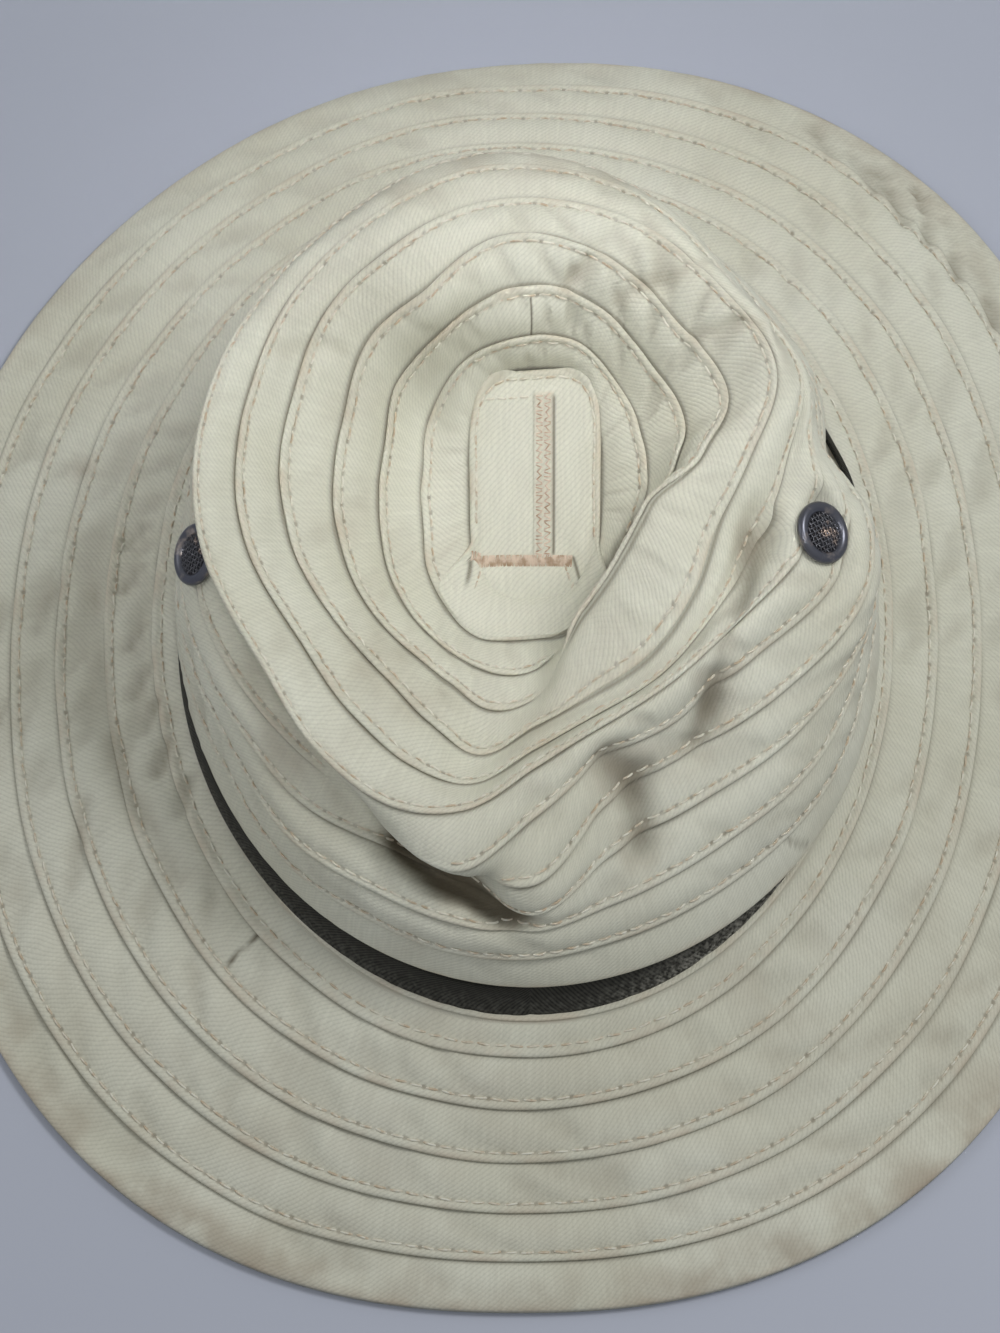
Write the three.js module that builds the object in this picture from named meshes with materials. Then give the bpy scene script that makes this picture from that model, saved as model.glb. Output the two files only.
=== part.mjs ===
// Sun hat sewn from overlapped cotton strips: crown side, top and patch, ribbon band, brim and two mesh vents.
// Millimetres, +Z up. The origin is on the table under the middle of the brim, and the front faces -Y.
import * as THREE from 'three';

// Cloth and clearances
const CLOTH = 1.2; // thickness of a sewn wall
const LAP = 0.7; // how far a strip's folded edge stands above the strip outside it
const TUCK = 0.08; // share of a strip's width that the lap's edge hides
const FOLD_HOLLOW = 1.2; // depth of a hollow in which a lap is pressed flat
const FOLD_EXTRA = 0.6; // extra depth of the wall along a fold, so that both its sides keep their thickness
const GAP = 0.3; // clearance between pieces that touch

// Directions round the hat, in degrees: 0 front, 90 right, 180 back, 270 left
const FINE_TURNS = { from: -45, to: 60, step: 5 }; // the pinched front has the closest sections
const COARSE_STEP = 7.5;

// Crown: 12 strips between the lip over the band (seam 0) and the patch on top (seam 12)
const CROWN_STRIPS = 12;
const STRIP = 11.9; // width of a strip that shows
const CREST = { seam: 6, gap: 0.04 }; // seam where the top is sewn to the side, and the gap there in strips
const LIP = { halfWidth: 85.5, halfLength: 100, height: 34 };
const LIP_PULLS = { // where the soft wall is drawn inwards at the lip
  sharpness: 4,
  places: [{ turn: 112, depth: 6 }, { turn: 262, depth: 1.5 }],
};

// Patch: an oval panel on the sunken top, tilted up towards the back and a little to the right
const PATCH = {
  x: 1.3, y: 13.3, height: 60,
  halfWidth: 15.4, halfLength: 23, power: 3,
  rise: 0.66, lean: 0.13,
};

// Crown sections. Each pair is the reach from the crown's axis and the height at a seam.
const SECTION_SEAMS = { r3: 2, r5: 4, r6: 5, t6: 6, t5: 7, t4: 8, t3: 9, t1: 11 };
const SECTIONS = [
  // turn  r3        r5        r6        t6        t5        t4         t3         t1
  [0, [95, 50], [90, 61], [79, 69], [70, 73], [64, 67], [58, 63], [50, 59], [34, 51]],
  [12, [90, 50], [75, 64], [68, 71], [64, 77], [59, 70], [54, 66], [43, 67], [34, 52]],
  [30, [86, 51], [70, 65], [65, 71], [60, 79], [56, 73], [52, 72], [38, 76], [30, 53]],
  [50, [85, 54], [73, 68], [65, 74], [59, 81], [53, 76], [48, 78], [35, 83], [27, 57]],
  [70, [81, 56], [79, 73], [72, 77], [64, 83], [53, 78], [45, 83], [35, 88], [26, 64]],
  [88, [80, 55], [77, 73], [73, 79], [69, 85], [58, 85], [49, 89], [39, 89], [26, 69]],
  [107, [79, 53], [73, 71], [69, 79], [66, 87], [63, 91], [57, 95], [46, 87], [26, 72]],
  [130, [82, 53], [71, 71], [66, 80], [63, 88], [59, 96], [54, 101], [43, 94], [27, 75]],
  [160, [90, 54], [80, 73], [75, 83], [71, 92], [65, 99], [55, 103], [44, 102], [28, 84]],
  [190, [92, 54], [84, 74], [80, 84], [76, 94], [68, 100], [56, 103], [45, 104], [26, 87]],
  [215, [88, 54], [81, 74], [78, 83], [74, 92], [66, 98], [55, 101], [42, 99], [29, 79]],
  [235, [83, 54], [78, 73], [76, 81], [74, 89], [67, 92], [58, 91], [47, 87], [30, 64]],
  [255, [80, 54], [76, 72], [73, 79], [75, 88], [67, 86], [58, 80], [46, 74], [27, 59]],
  [285, [83, 54], [79, 69], [73, 76], [77, 86], [68, 82], [58, 74], [47, 66], [27, 56]],
  [308, [86, 56], [80, 70], [72, 72], [77, 81], [67, 77], [57, 70], [48, 63], [31, 53]],
  [325, [92, 54], [80, 64], [76, 68], [82, 75], [71, 74], [59, 70], [49, 62], [34, 51]],
  [338, [93, 52], [80, 60], [86, 64], [84, 71], [74, 70], [63, 67], [51, 60], [36, 51]],
  [349, [95, 51], [82, 58], [91, 65], [80, 70], [73, 66], [65, 61], [54, 59], [35, 51]],
];
const FOLDED_STRIPS = { from: 3, to: 10 }; // strips that bend sharply get a row along their middle
const SMALL_SPAN = { seams: 0.05, turns: 0.5 }; // distance over which the cloth's slope is taken
const WIDE_SPAN = { seams: 0.5, turns: 5 }; // distance over which a fold or a vent's seat is seen

// Foot: the crown's lowest wall, behind the band and standing on the brim
const FOOT_BOTTOM = { halfWidth: 79, halfLength: 102, height: 25.6 };
const FOOT_TOP = { halfWidth: 78, halfLength: 98, height: 32.2 };
const LIP_FOLD = 1.2; // the lip's turned edge, below and inside its outermost line

// Band: a woven ribbon round the foot
const BAND = { thickness: 1.2, bottom: 24.8, top: 31.8 };

// Brim: 6 strips, from the seam under the crown's foot to the edge that rests on the table
const HEAD_OFFSET = 2.5; // the crown sits a little to the right of the brim's middle
const BRIM_SEAMS = [
  // outline: half-width, half-length, power and shift in X; then the height, and the height at the back
  { halfWidth: 77, halfLength: 100, power: 2, shift: HEAD_OFFSET, height: 25.2, back: 25.2 },
  { halfWidth: 89, halfLength: 113, power: 2.05, shift: 1, height: 21, back: 21.5 },
  { halfWidth: 100.5, halfLength: 124, power: 2.1, shift: 0.5, height: 17, back: 17.5 },
  { halfWidth: 112, halfLength: 135, power: 2.15, shift: 0, height: 13, back: 14 },
  { halfWidth: 123.5, halfLength: 146, power: 2.2, shift: 0, height: 9, back: 11 },
  { halfWidth: 135, halfLength: 156.5, power: 2.25, shift: 0, height: 5, back: 8 },
  { halfWidth: 146, halfLength: 167, power: 2.3, shift: 0, height: 1.4, back: 1.4 },
];
const BRIM_PULLS = { // where the outline is drawn in, or bulges out, at the edge
  sharpness: 8,
  places: [{ turn: 215, depth: 8.5 }, { turn: 175, depth: -1.7 }, { turn: 130, depth: -3.5 }],
};
const BRIM_FLAT = 4; // width of the edge that lies flat on the table

// Vents: domed mesh eyelets on the crown's sides, each on cloth that it presses flat
const VENTS = [
  { name: 'vent_right', seam: 5.95, turn: 76 },
  { name: 'vent_left', seam: 4.3, turn: 281 },
];
const VENT = { radius: 7.2, bevel: 0.4, edge: 0.5, sides: 24 };
const VENT_RIM = { outside: 6.4, inside: 5.1, height: 1.9 };
const VENT_MESH = { edgeRadius: 4.6, edge: 1.1, domeRadius: 3, dome: 1.5, top: 1.7 };
const VENT_SEAT = { flat: 9, fade: 15, reach: 80 }; // pressed flat, free again, and distance from the axis

// Finishes: colour, roughness, metalness
const COTTON = { color: 0xd6d0bf, roughness: 0.9, metalness: 0 };
const FINISHES = {
  crown_side: COTTON,
  crown_top: COTTON,
  crown_patch: { ...COTTON, color: 0xdad4c4 },
  brim: { ...COTTON, color: 0xd2ccba },
  hat_band: { color: 0x2c2b27, roughness: 0.85, metalness: 0 },
  vent_right: { color: 0x2a2c31, roughness: 0.4, metalness: 0.8 },
  vent_left: { color: 0x2a2c31, roughness: 0.4, metalness: 0.8 },
};

const radians = THREE.MathUtils.degToRad;

// Radius of an oval in a direction; a power above 2 makes its corners fuller
function oval(turn, { halfWidth, halfLength, power = 2 }) {
  const across = Math.abs(Math.sin(radians(turn)) / halfWidth) ** power;
  const along = Math.abs(Math.cos(radians(turn)) / halfLength) ** power;
  return (across + along) ** (-1 / power);
}

// Point at a reach and height in a direction from an upright axis
function polar(turn, reach, height, axisX = 0, axisY = 0) {
  const angle = radians(turn);
  return new THREE.Vector3(axisX + reach * Math.sin(angle), axisY - reach * Math.cos(angle), height);
}

// Value at x of the smooth curve through (xs, ys) with the given slopes
function curveValue(xs, ys, slopes, x) {
  let i = 0;
  while (i < xs.length - 2 && x >= xs[i + 1]) i += 1;
  const width = xs[i + 1] - xs[i];
  const t = (x - xs[i]) / width;
  const near = (1 + 2 * t) * (1 - t) ** 2 * ys[i] + t * (1 - t) ** 2 * width * slopes[i];
  const far = t * t * (3 - 2 * t) * ys[i + 1] + t * t * (t - 1) * width * slopes[i + 1];
  return near + far;
}

// Slopes of a curve through points: each takes its two neighbours, the nearer one counting more
function openSlopes(xs, ys) {
  const steps = xs.slice(1).map((x, i) => x - xs[i]);
  const grades = steps.map((step, i) => (ys[i + 1] - ys[i]) / step);
  const inner = grades.slice(1).map((grade, i) => {
    const weighted = steps[i + 1] * grades[i] + steps[i] * grade;
    return weighted / (steps[i] + steps[i + 1]);
  });
  return [grades[0], ...inner, grades.at(-1)];
}

// Slopes of a curve that goes once round the hat
function roundSlopes(turns, ys) {
  const count = turns.length;
  return ys.map((_, i) => {
    const before = (i + count - 1) % count;
    const after = (i + 1) % count;
    const span = (turns[after] - turns[before] + 360) % 360;
    return (ys[after] - ys[before]) / span;
  });
}

// One column of the section table as a smooth function of the turn
function roundColumn(column, item) {
  const turns = SECTIONS.map((row) => row[0]);
  const values = SECTIONS.map((row) => row[column][item]);
  const slopes = roundSlopes(turns, values);
  const xs = [...turns, turns[0] + 360];
  const ys = [...values, values[0]];
  const ms = [...slopes, slopes[0]];
  return (turn) => curveValue(xs, ys, ms, ((turn % 360) + 360) % 360);
}

const SEAM_NUMBERS = [0, ...Object.values(SECTION_SEAMS), CROWN_STRIPS];
const REACH_COLUMNS = Object.values(SECTION_SEAMS).map((_, i) => roundColumn(i + 1, 0));
const HEIGHT_COLUMNS = Object.values(SECTION_SEAMS).map((_, i) => roundColumn(i + 1, 1));

// How far a line round the hat is drawn in, summed over the places that pull it
function pullDepth(turn, { sharpness, places }) {
  return places.reduce((sum, { turn: centre, depth }) => {
    const nearness = Math.max(0, Math.cos(radians(turn - centre)));
    return sum + depth * nearness ** sharpness;
  }, 0);
}

function lipReach(turn) {
  return oval(turn, LIP) - pullDepth(turn, LIP_PULLS);
}

const PATCH_NORMAL = new THREE.Vector3(-PATCH.lean, -PATCH.rise, 1).normalize();

function patchHeight(turn, reach) {
  const angle = radians(turn);
  return PATCH.height - PATCH.rise * Math.cos(angle) * reach + PATCH.lean * Math.sin(angle) * reach;
}

// Point of the crown's smooth outer face at a seam number, before the vents press it
function softPoint(seam, turn) {
  const patchReach = oval(turn, PATCH);
  const reaches = [lipReach(turn), ...REACH_COLUMNS.map((column) => column(turn)), patchReach];
  const patchEdge = patchHeight(turn, patchReach);
  const heights = [LIP.height, ...HEIGHT_COLUMNS.map((column) => column(turn)), patchEdge];
  const reach = curveValue(SEAM_NUMBERS, reaches, openSlopes(SEAM_NUMBERS, reaches), seam);
  const height = curveValue(SEAM_NUMBERS, heights, openSlopes(SEAM_NUMBERS, heights), seam);
  const share = seam / CROWN_STRIPS;
  return polar(turn, reach, height, PATCH.x * share, PATCH.y * share);
}

// Outward normal of a surface given as a function of seam number and turn, over a span of both
function normalOf(surface, seam, turn, span = SMALL_SPAN) {
  const low = Math.max(0, seam - span.seams);
  const high = Math.min(CROWN_STRIPS, seam + span.seams);
  const up = surface(high, turn).sub(surface(low, turn));
  const round = surface(seam, turn + span.turns).sub(surface(seam, turn - span.turns));
  return round.cross(up).normalize();
}

// Seat of a vent: its place on the crown and a normal averaged over the cloth that it presses
const SEATS = VENTS.map(({ seam, turn }) => ({
  seam,
  turn,
  centre: softPoint(seam, turn),
  normal: normalOf(softPoint, seam, turn, WIDE_SPAN),
}));

// Point of the crown's outer face with the flat seats of the vents
function crownPoint(seam, turn) {
  const point = softPoint(seam, turn);
  for (const seat of SEATS) {
    const across = (seam - seat.seam) * STRIP;
    const along = 2 * VENT_SEAT.reach * Math.sin(radians(turn - seat.turn) / 2);
    const free = THREE.MathUtils.smoothstep(Math.hypot(across, along), VENT_SEAT.flat, VENT_SEAT.fade);
    const height = point.clone().sub(seat.centre).dot(seat.normal);
    point.addScaledVector(seat.normal, -(1 - free) * height);
  }
  return point;
}

// Directions of the hat's sections
function sectionTurns() {
  const { from, to, step } = FINE_TURNS;
  const fine = Math.round((to - from) / step);
  const rest = from + 360 - to;
  const coarse = Math.round(rest / COARSE_STEP);
  const turns = Array.from({ length: fine }, (_, i) => from + i * step);
  return turns.concat(Array.from({ length: coarse }, (_, i) => to + (i * rest) / coarse));
}
const TURNS = sectionTurns();

// Ring of points, one for each section
function ring(pointAt) {
  return TURNS.map(pointAt);
}

function ovalRing(size, height, grow = 0) {
  return ring((turn) => polar(turn, oval(turn, size) + grow, height));
}

// Geometry from points and triangles, shaded flat
function solid(points, triangles) {
  const geometry = new THREE.BufferGeometry();
  geometry.setAttribute('position', new THREE.Float32BufferAttribute(points.flatMap((p) => p.toArray()), 3));
  geometry.setIndex(triangles);
  geometry.computeVertexNormals();
  return geometry;
}

// Wall whose section goes up its outer face and down its inner face, swept round the hat.
// Both faces are split along the same diagonals, so the cloth keeps its thickness where it twists.
function hollowWall(outer, inner) {
  const count = TURNS.length;
  const rings = [...outer, ...inner];
  const triangles = [];
  rings.forEach((_, row) => {
    const here = row * count;
    const next = ((row + 1) % rings.length) * count;
    for (let i = 0; i < count; i += 1) {
      const j = (i + 1) % count;
      if (row < outer.length) {
        triangles.push(here + i, here + j, next + j, here + i, next + j, next + i);
      } else {
        triangles.push(here + i, here + j, next + i, here + j, next + j, next + i);
      }
    }
  });
  return solid(rings.flat(), triangles);
}

// Disc between a top ring and a bottom ring
function disc(top, bottom) {
  const count = top.length;
  const middle = (points) => points.reduce((sum, p) => sum.add(p), new THREE.Vector3()).divideScalar(count);
  const points = [...top, ...bottom, middle(top), middle(bottom)];
  const topMiddle = 2 * count;
  const bottomMiddle = topMiddle + 1;
  const triangles = [];
  for (let i = 0; i < count; i += 1) {
    const j = (i + 1) % count;
    triangles.push(i, j, topMiddle, count + j, count + i, bottomMiddle);
    triangles.push(count + i, count + j, j, count + i, j, i);
  }
  return solid(points, triangles);
}

// How far into a fold a point lies: 0 on open cloth, 1 where the cloth on both sides stands well above it
function foldShare(seam, turn, normal) {
  const point = crownPoint(seam, turn);
  const hollows = [[WIDE_SPAN.seams, 0], [0, WIDE_SPAN.turns]].map(([seams, turns]) => {
    const before = crownPoint(Math.max(0, seam - seams), turn - turns);
    const after = crownPoint(Math.min(CROWN_STRIPS, seam + seams), turn + turns);
    return before.add(after).multiplyScalar(0.5).sub(point).dot(normal);
  });
  return THREE.MathUtils.clamp(Math.max(...hollows) / FOLD_HOLLOW, 0, 1);
}

// Normal of the crown's cloth; the two edges that meet at the crest share one, so they stay parallel
function clothNormal(seam, turn) {
  const atCrest = Math.abs(seam - CREST.seam) < 2 * CREST.gap;
  return normalOf(crownPoint, atCrest ? CREST.seam : seam, turn);
}

// Outer rows of some of the crown's strips: at each seam the strip above stands proud of the strip below
function crownOuterRings(from, to, lastGap) {
  const rows = [];
  for (let strip = from; strip < to; strip += 1) {
    const tuck = strip === to - 1 ? lastGap : TUCK;
    rows.push({ seam: strip, raise: LAP });
    if (strip >= FOLDED_STRIPS.from && strip < FOLDED_STRIPS.to) {
      rows.push({ seam: strip + 0.5, raise: LAP / 2 });
    }
    rows.push({ seam: strip + 1 - tuck, raise: 0 });
  }
  return rows.map(({ seam, raise }) => ring((turn) => {
    const normal = clothNormal(seam, turn);
    const pressed = foldShare(seam, turn, normal);
    return crownPoint(seam, turn).addScaledVector(normal, raise * (1 - pressed));
  }));
}

// Inner rows of some of the crown's strips, from the highest seam down
function crownInnerRings(from, to, lastGap) {
  const seams = [to - lastGap];
  for (let seam = to; seam > from; seam -= 1) {
    if (seam > FOLDED_STRIPS.from && seam <= FOLDED_STRIPS.to) seams.push(seam - 0.5);
    seams.push(seam - 1);
  }
  return seams.map((seam) => ring((turn) => {
    if (seam === CROWN_STRIPS) return crownPoint(seam, turn).addScaledVector(PATCH_NORMAL, -CLOTH);
    const normal = clothNormal(seam, turn);
    const depth = CLOTH + FOLD_EXTRA * foldShare(seam, turn, normal);
    return crownPoint(seam, turn).addScaledVector(normal, -depth);
  }));
}

// Side of the crown, from its foot over the lip to the crest
function sideGeometry() {
  const lipUnder = ring((turn) => polar(turn, lipReach(turn) - LIP_FOLD, LIP.height - LIP_FOLD));
  const outer = [
    ovalRing(FOOT_BOTTOM, FOOT_BOTTOM.height),
    ovalRing(FOOT_TOP, FOOT_TOP.height),
    lipUnder,
    ...crownOuterRings(0, CREST.seam, CREST.gap),
  ];
  const inner = [
    ...crownInnerRings(0, CREST.seam, CREST.gap),
    ovalRing(FOOT_TOP, FOOT_TOP.height + CLOTH, -CLOTH),
    ovalRing(FOOT_BOTTOM, FOOT_BOTTOM.height, -CLOTH),
  ];
  return hollowWall(outer, inner);
}

// Top of the crown, from the crest down into the hollow round the patch
function topGeometry() {
  const patchEdge = ring((turn) => crownPoint(CROWN_STRIPS, turn));
  const outer = [...crownOuterRings(CREST.seam, CROWN_STRIPS, TUCK), patchEdge];
  return hollowWall(outer, crownInnerRings(CREST.seam, CROWN_STRIPS, 0));
}

function patchGeometry() {
  const edge = (drop) => ring((turn) => {
    const reach = oval(turn, PATCH) - GAP;
    const point = polar(turn, reach, patchHeight(turn, reach), PATCH.x, PATCH.y);
    return point.addScaledVector(PATCH_NORMAL, -drop);
  });
  return disc(edge(0), edge(CLOTH));
}

function bandGeometry() {
  const { thickness, bottom, top } = BAND;
  const footShare = (height) => (height - FOOT_BOTTOM.height) / (FOOT_TOP.height - FOOT_BOTTOM.height);
  const bandRing = (height, grow) => ring((turn) => {
    const foot = THREE.MathUtils.lerp(oval(turn, FOOT_BOTTOM), oval(turn, FOOT_TOP), footShare(height));
    return polar(turn, foot + grow, height);
  });
  const outer = [bandRing(bottom, GAP + thickness), bandRing(top, GAP + thickness)];
  const inner = [bandRing(top, GAP), bandRing(bottom, GAP)];
  return hollowWall(outer, inner);
}

// Point of the brim's top face; seam 0 is under the crown's foot
function brimPoint(seam, turn) {
  const low = Math.min(Math.floor(seam), BRIM_SEAMS.length - 2);
  const blend = (read) => THREE.MathUtils.lerp(read(BRIM_SEAMS[low]), read(BRIM_SEAMS[low + 1]), seam - low);
  const backness = Math.max(0, -Math.cos(radians(turn))) ** 2;
  const pull = pullDepth(turn, BRIM_PULLS) * (seam / (BRIM_SEAMS.length - 1));
  const reach = blend((row) => oval(turn, row)) - pull;
  const height = blend((row) => THREE.MathUtils.lerp(row.height, row.back, backness));
  return polar(turn, reach, height, blend((row) => row.shift));
}

function lifted(point, rise) {
  return point.setZ(point.z + rise);
}

function brimGeometry() {
  const strips = BRIM_SEAMS.length - 1;
  const top = [];
  const bottom = [];
  for (let strip = strips; strip > 0; strip -= 1) {
    const raise = strip < strips ? LAP : 0;
    top.push(ring((turn) => lifted(brimPoint(strip, turn), raise)));
    top.push(ring((turn) => brimPoint(strip - 1 + TUCK, turn)));
  }
  for (let seam = 0; seam < strips; seam += 1) {
    bottom.push(ring((turn) => lifted(brimPoint(seam, turn), -CLOTH)));
  }
  const stripWidth = BRIM_SEAMS[strips].halfWidth - BRIM_SEAMS[strips - 1].halfWidth;
  const flatSeam = strips - BRIM_FLAT / stripWidth;
  bottom.push(ring((turn) => brimPoint(flatSeam, turn).setZ(0)));
  bottom.push(ring((turn) => brimPoint(strips, turn).setZ(0)));
  return hollowWall(top, bottom);
}

// Vent turned about its own axis: flange, raised rim and the sunken mesh's low dome
function ventGeometry() {
  const profile = [
    [0, 0],
    [VENT.radius - VENT.bevel, 0],
    [VENT.radius, VENT.edge],
    [VENT_RIM.outside, VENT_RIM.height],
    [VENT_RIM.inside, VENT_RIM.height],
    [VENT_MESH.edgeRadius, VENT_MESH.edge],
    [VENT_MESH.domeRadius, VENT_MESH.dome],
    [0, VENT_MESH.top],
  ].map(([x, y]) => new THREE.Vector2(x, y));
  return new THREE.LatheGeometry(profile, VENT.sides);
}

function piece(name, geometry) {
  const mesh = new THREE.Mesh(geometry, new THREE.MeshStandardMaterial(FINISHES[name]));
  mesh.name = name;
  return mesh;
}

const head = new THREE.Group();
head.position.x = HEAD_OFFSET;
head.add(piece('crown_side', sideGeometry()));
head.add(piece('crown_top', topGeometry()));
head.add(piece('crown_patch', patchGeometry()));
head.add(piece('hat_band', bandGeometry()));
const LATHE_AXIS = new THREE.Vector3(0, 1, 0);
VENTS.forEach(({ name }, i) => {
  const vent = piece(name, ventGeometry());
  const { centre, normal } = SEATS[i];
  vent.quaternion.setFromUnitVectors(LATHE_AXIS, normal);
  vent.position.copy(centre).addScaledVector(normal, LAP + GAP);
  head.add(vent);
});

const hat = new THREE.Group();
hat.add(head);
hat.add(piece('brim', brimGeometry()));

export default hat;
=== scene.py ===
import math

import bpy
import numpy as np
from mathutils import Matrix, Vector, noise


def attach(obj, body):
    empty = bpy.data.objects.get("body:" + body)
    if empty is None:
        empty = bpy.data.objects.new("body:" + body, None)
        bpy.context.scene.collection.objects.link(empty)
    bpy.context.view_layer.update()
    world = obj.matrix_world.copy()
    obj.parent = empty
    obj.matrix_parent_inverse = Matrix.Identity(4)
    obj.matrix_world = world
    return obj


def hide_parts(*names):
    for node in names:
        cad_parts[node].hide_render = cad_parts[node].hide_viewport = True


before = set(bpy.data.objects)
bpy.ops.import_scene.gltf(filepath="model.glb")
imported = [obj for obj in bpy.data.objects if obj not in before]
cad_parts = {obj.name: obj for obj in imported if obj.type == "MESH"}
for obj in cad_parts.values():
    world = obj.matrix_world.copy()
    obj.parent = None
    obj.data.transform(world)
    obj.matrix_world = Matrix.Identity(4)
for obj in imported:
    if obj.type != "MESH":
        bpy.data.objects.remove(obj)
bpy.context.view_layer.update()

# Sun hat sewn from overlapped cotton strips.
# Shapes are worked out in millimetres, in the frame of the solids.
# Directions round the hat are turns in degrees: 0 front, 90 right, 180 back, 270 left.
MM = 0.001
SEED = 7

# Crown: 12 strips between the lip (seam 0) and the patch (seam 12), as in the part's source
CROWN_STRIPS = 12
CREST_SEAM = 6
STRIP = 11.9
CLOTH = 1.2  # thickness of the wall
FOLD_EXTRA = 0.6  # added to the wall in a fold
FOLD_HOLLOW = 1.2  # hollow that counts as a full fold
FOLD_SPANS = [(0.5, 0.0), (0.0, 5.0)]  # seams and turns from a point to its neighbours on both sides
CREASE_EXTRA = 0.35  # share of a crease's depth that is added to the wall below it
SIDE_STEP = 0.25  # seams from ring to ring inside the crown's side
TOP_STEP = 0.5  # the same inside its top
TOP_END = 0.17  # last ring inside the top, from the crest
LIP = {"half_width": 85.5, "half_length": 100.0, "power": 2.0}
LIP_HEIGHT = 34.0
LIP_PULLS = {"sharpness": 4, "places": [(112, 6.0), (262, 1.5), (292, 1.6)]}
PATCH = {"half_width": 15.4, "half_length": 23.0, "power": 3.0}
PATCH_PLACE = {"x": 1.3, "y": 13.3, "height": 60.0, "rise": 0.66, "lean": 0.13}
SECTION_SEAMS = [2, 4, 5, 6, 7, 8, 9, 11]
SECTIONS = [
    # turn, then reach from the crown's axis and height at each of the seams above
    (0, (95, 50), (90, 61), (79, 69), (70, 73), (64, 67), (58, 63), (50, 59), (34, 51)),
    (12, (90, 50), (75, 64), (68, 71), (64, 77), (59, 70), (54, 66), (43, 67), (34, 52)),
    (30, (86, 51), (70, 65), (65, 71), (60, 79), (56, 73), (52, 72), (38, 76), (30, 53)),
    (50, (85, 54), (73, 68), (65, 74), (59, 81), (53, 76), (48, 78), (35, 83), (27, 57)),
    (70, (81, 56), (79, 73), (72, 77), (64, 83), (53, 78), (45, 83), (35, 88), (26, 64)),
    (88, (80, 55), (77, 73), (73, 79), (69, 85), (58, 85), (49, 89), (39, 89), (26, 69)),
    (107, (79, 53), (73, 71), (69, 79), (66, 87), (63, 91), (57, 95), (46, 87), (26, 72)),
    (130, (82, 53), (71, 71), (66, 80), (63, 88), (59, 96), (54, 101), (43, 94), (27, 75)),
    (160, (90, 54), (80, 73), (75, 83), (71, 92), (65, 99), (55, 103), (44, 102), (28, 84)),
    (190, (92, 54), (84, 74), (80, 84), (76, 94), (68, 100), (56, 103), (45, 104), (26, 87)),
    (215, (88, 54), (81, 74), (78, 83), (74, 92), (66, 98), (55, 101), (42, 99), (29, 79)),
    (235, (83, 54), (78, 73), (76, 81), (74, 89), (67, 92), (58, 91), (47, 87), (30, 64)),
    (255, (80, 54), (76, 72), (73, 79), (75, 88), (67, 86), (58, 80), (46, 74), (27, 59)),
    (285, (83, 54), (79, 69), (73, 76), (77, 86), (68, 82), (58, 74), (47, 66), (27, 56)),
    (308, (86, 56), (80, 70), (72, 72), (77, 81), (67, 77), (57, 70), (48, 63), (31, 53)),
    (325, (92, 54), (80, 64), (76, 68), (82, 75), (71, 74), (59, 70), (49, 62), (34, 51)),
    (338, (93, 52), (80, 60), (86, 64), (84, 71), (74, 70), (63, 67), (51, 60), (36, 51)),
    (349, (95, 51), (82, 58), (91, 65), (80, 70), (73, 66), (65, 61), (54, 59), (35, 51)),
]

# Foot behind the band, and the band round it
FOOT_BOTTOM = {"half_width": 79.0, "half_length": 102.0, "power": 2.0, "height": 25.6}
FOOT_TOP = {"half_width": 78.0, "half_length": 98.0, "power": 2.0, "height": 32.2}
LIP_FOLD = 1.2  # from the lip to where its fold turns back to the foot
BAND = {"thickness": 1.2, "bottom": 24.8, "top": 31.8, "rings": 13, "bulge": 0.3, "wave": 0.5, "waves": 40}
BAND_SLACK = [(290, 42, 4.0), (111, 10, 2.0)]  # turn, half-width in turns and how far it stands off
# Lint along the band's lower edge, strongest between these turns on the front right, where it also stands
# for a painted highlight
BAND_LINT_AND_HIGHLIGHT = {"start": (4, 24), "end": (70, 95), "all_round": 0.25}
GAP = 0.3  # between the foot and the band

# Brim: 6 strips from the seam under the crown's foot to the edge on the table
HEAD_OFFSET = 2.5  # shift of the head opening in X
BRIM_STRIPS = 6
BRIM_SEAMS = [
    # half-width, half-length, power, shift in X, height, height at the back
    (77.0, 100.0, 2.0, HEAD_OFFSET, 25.2, 25.2),
    (89.0, 113.0, 2.05, 1.0, 21.0, 21.5),
    (100.5, 124.0, 2.1, 0.5, 17.0, 17.5),
    (112.0, 135.0, 2.15, 0.0, 13.0, 14.0),
    (123.5, 146.0, 2.2, 0.0, 9.0, 11.0),
    (135.0, 156.5, 2.25, 0.0, 5.0, 8.0),
    (146.0, 167.0, 2.3, 0.0, 1.4, 1.4),
]
BRIM_PULLS = {"sharpness": 8, "places": [(215, 8.5), (175, -1.7), (130, -3.5)]}
BRIM_FLAT = 4.0  # width of the edge that lies flat on the table
BRIM_STRIP = 11.5
BRIM_THICKNESS = 1.9
UNDER_STEP = 0.5  # seams from ring to ring on the underside

# Vents: seam number and turn of each, on cloth that it presses flat
VENTS = {"vent_right": (5.95, 76.0), "vent_left": (4.3, 281.0)}
VENT_LEAN = {"vent_right": (0.55, 0.0, -0.1), "vent_left": (0.0, 0.0, 0.0)}  # added to the cloth's normal
VENT_SINK = {"vent_right": 3.2, "vent_left": 0.0}  # depth below the smooth cloth
VENT_SEAT = {"flat": 8.0, "fade": 14.0, "reach": 80.0, "seams": 0.5, "turns": 5.0, "lift": 1.0}

# One sewn strip from its folded edge inwards: inset from the fold and height above the cloth below
LAP_ROWS = [
    (1.5, 0.08), (0.4, 0.10), (0.08, 0.24), (0.0, 0.46), (0.1, 0.76), (0.4, 0.98), (0.9, 1.06),
    (1.45, 0.94), (2.1, 0.48), (2.8, 0.70), (4.2, 1.0), (6.2, 1.1), (8.2, 0.86), (10.2, 0.36),
    (11.0, 0.14), (11.5, 0.04), (12.0, 0.0), (12.8, 0.0),
]
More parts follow.
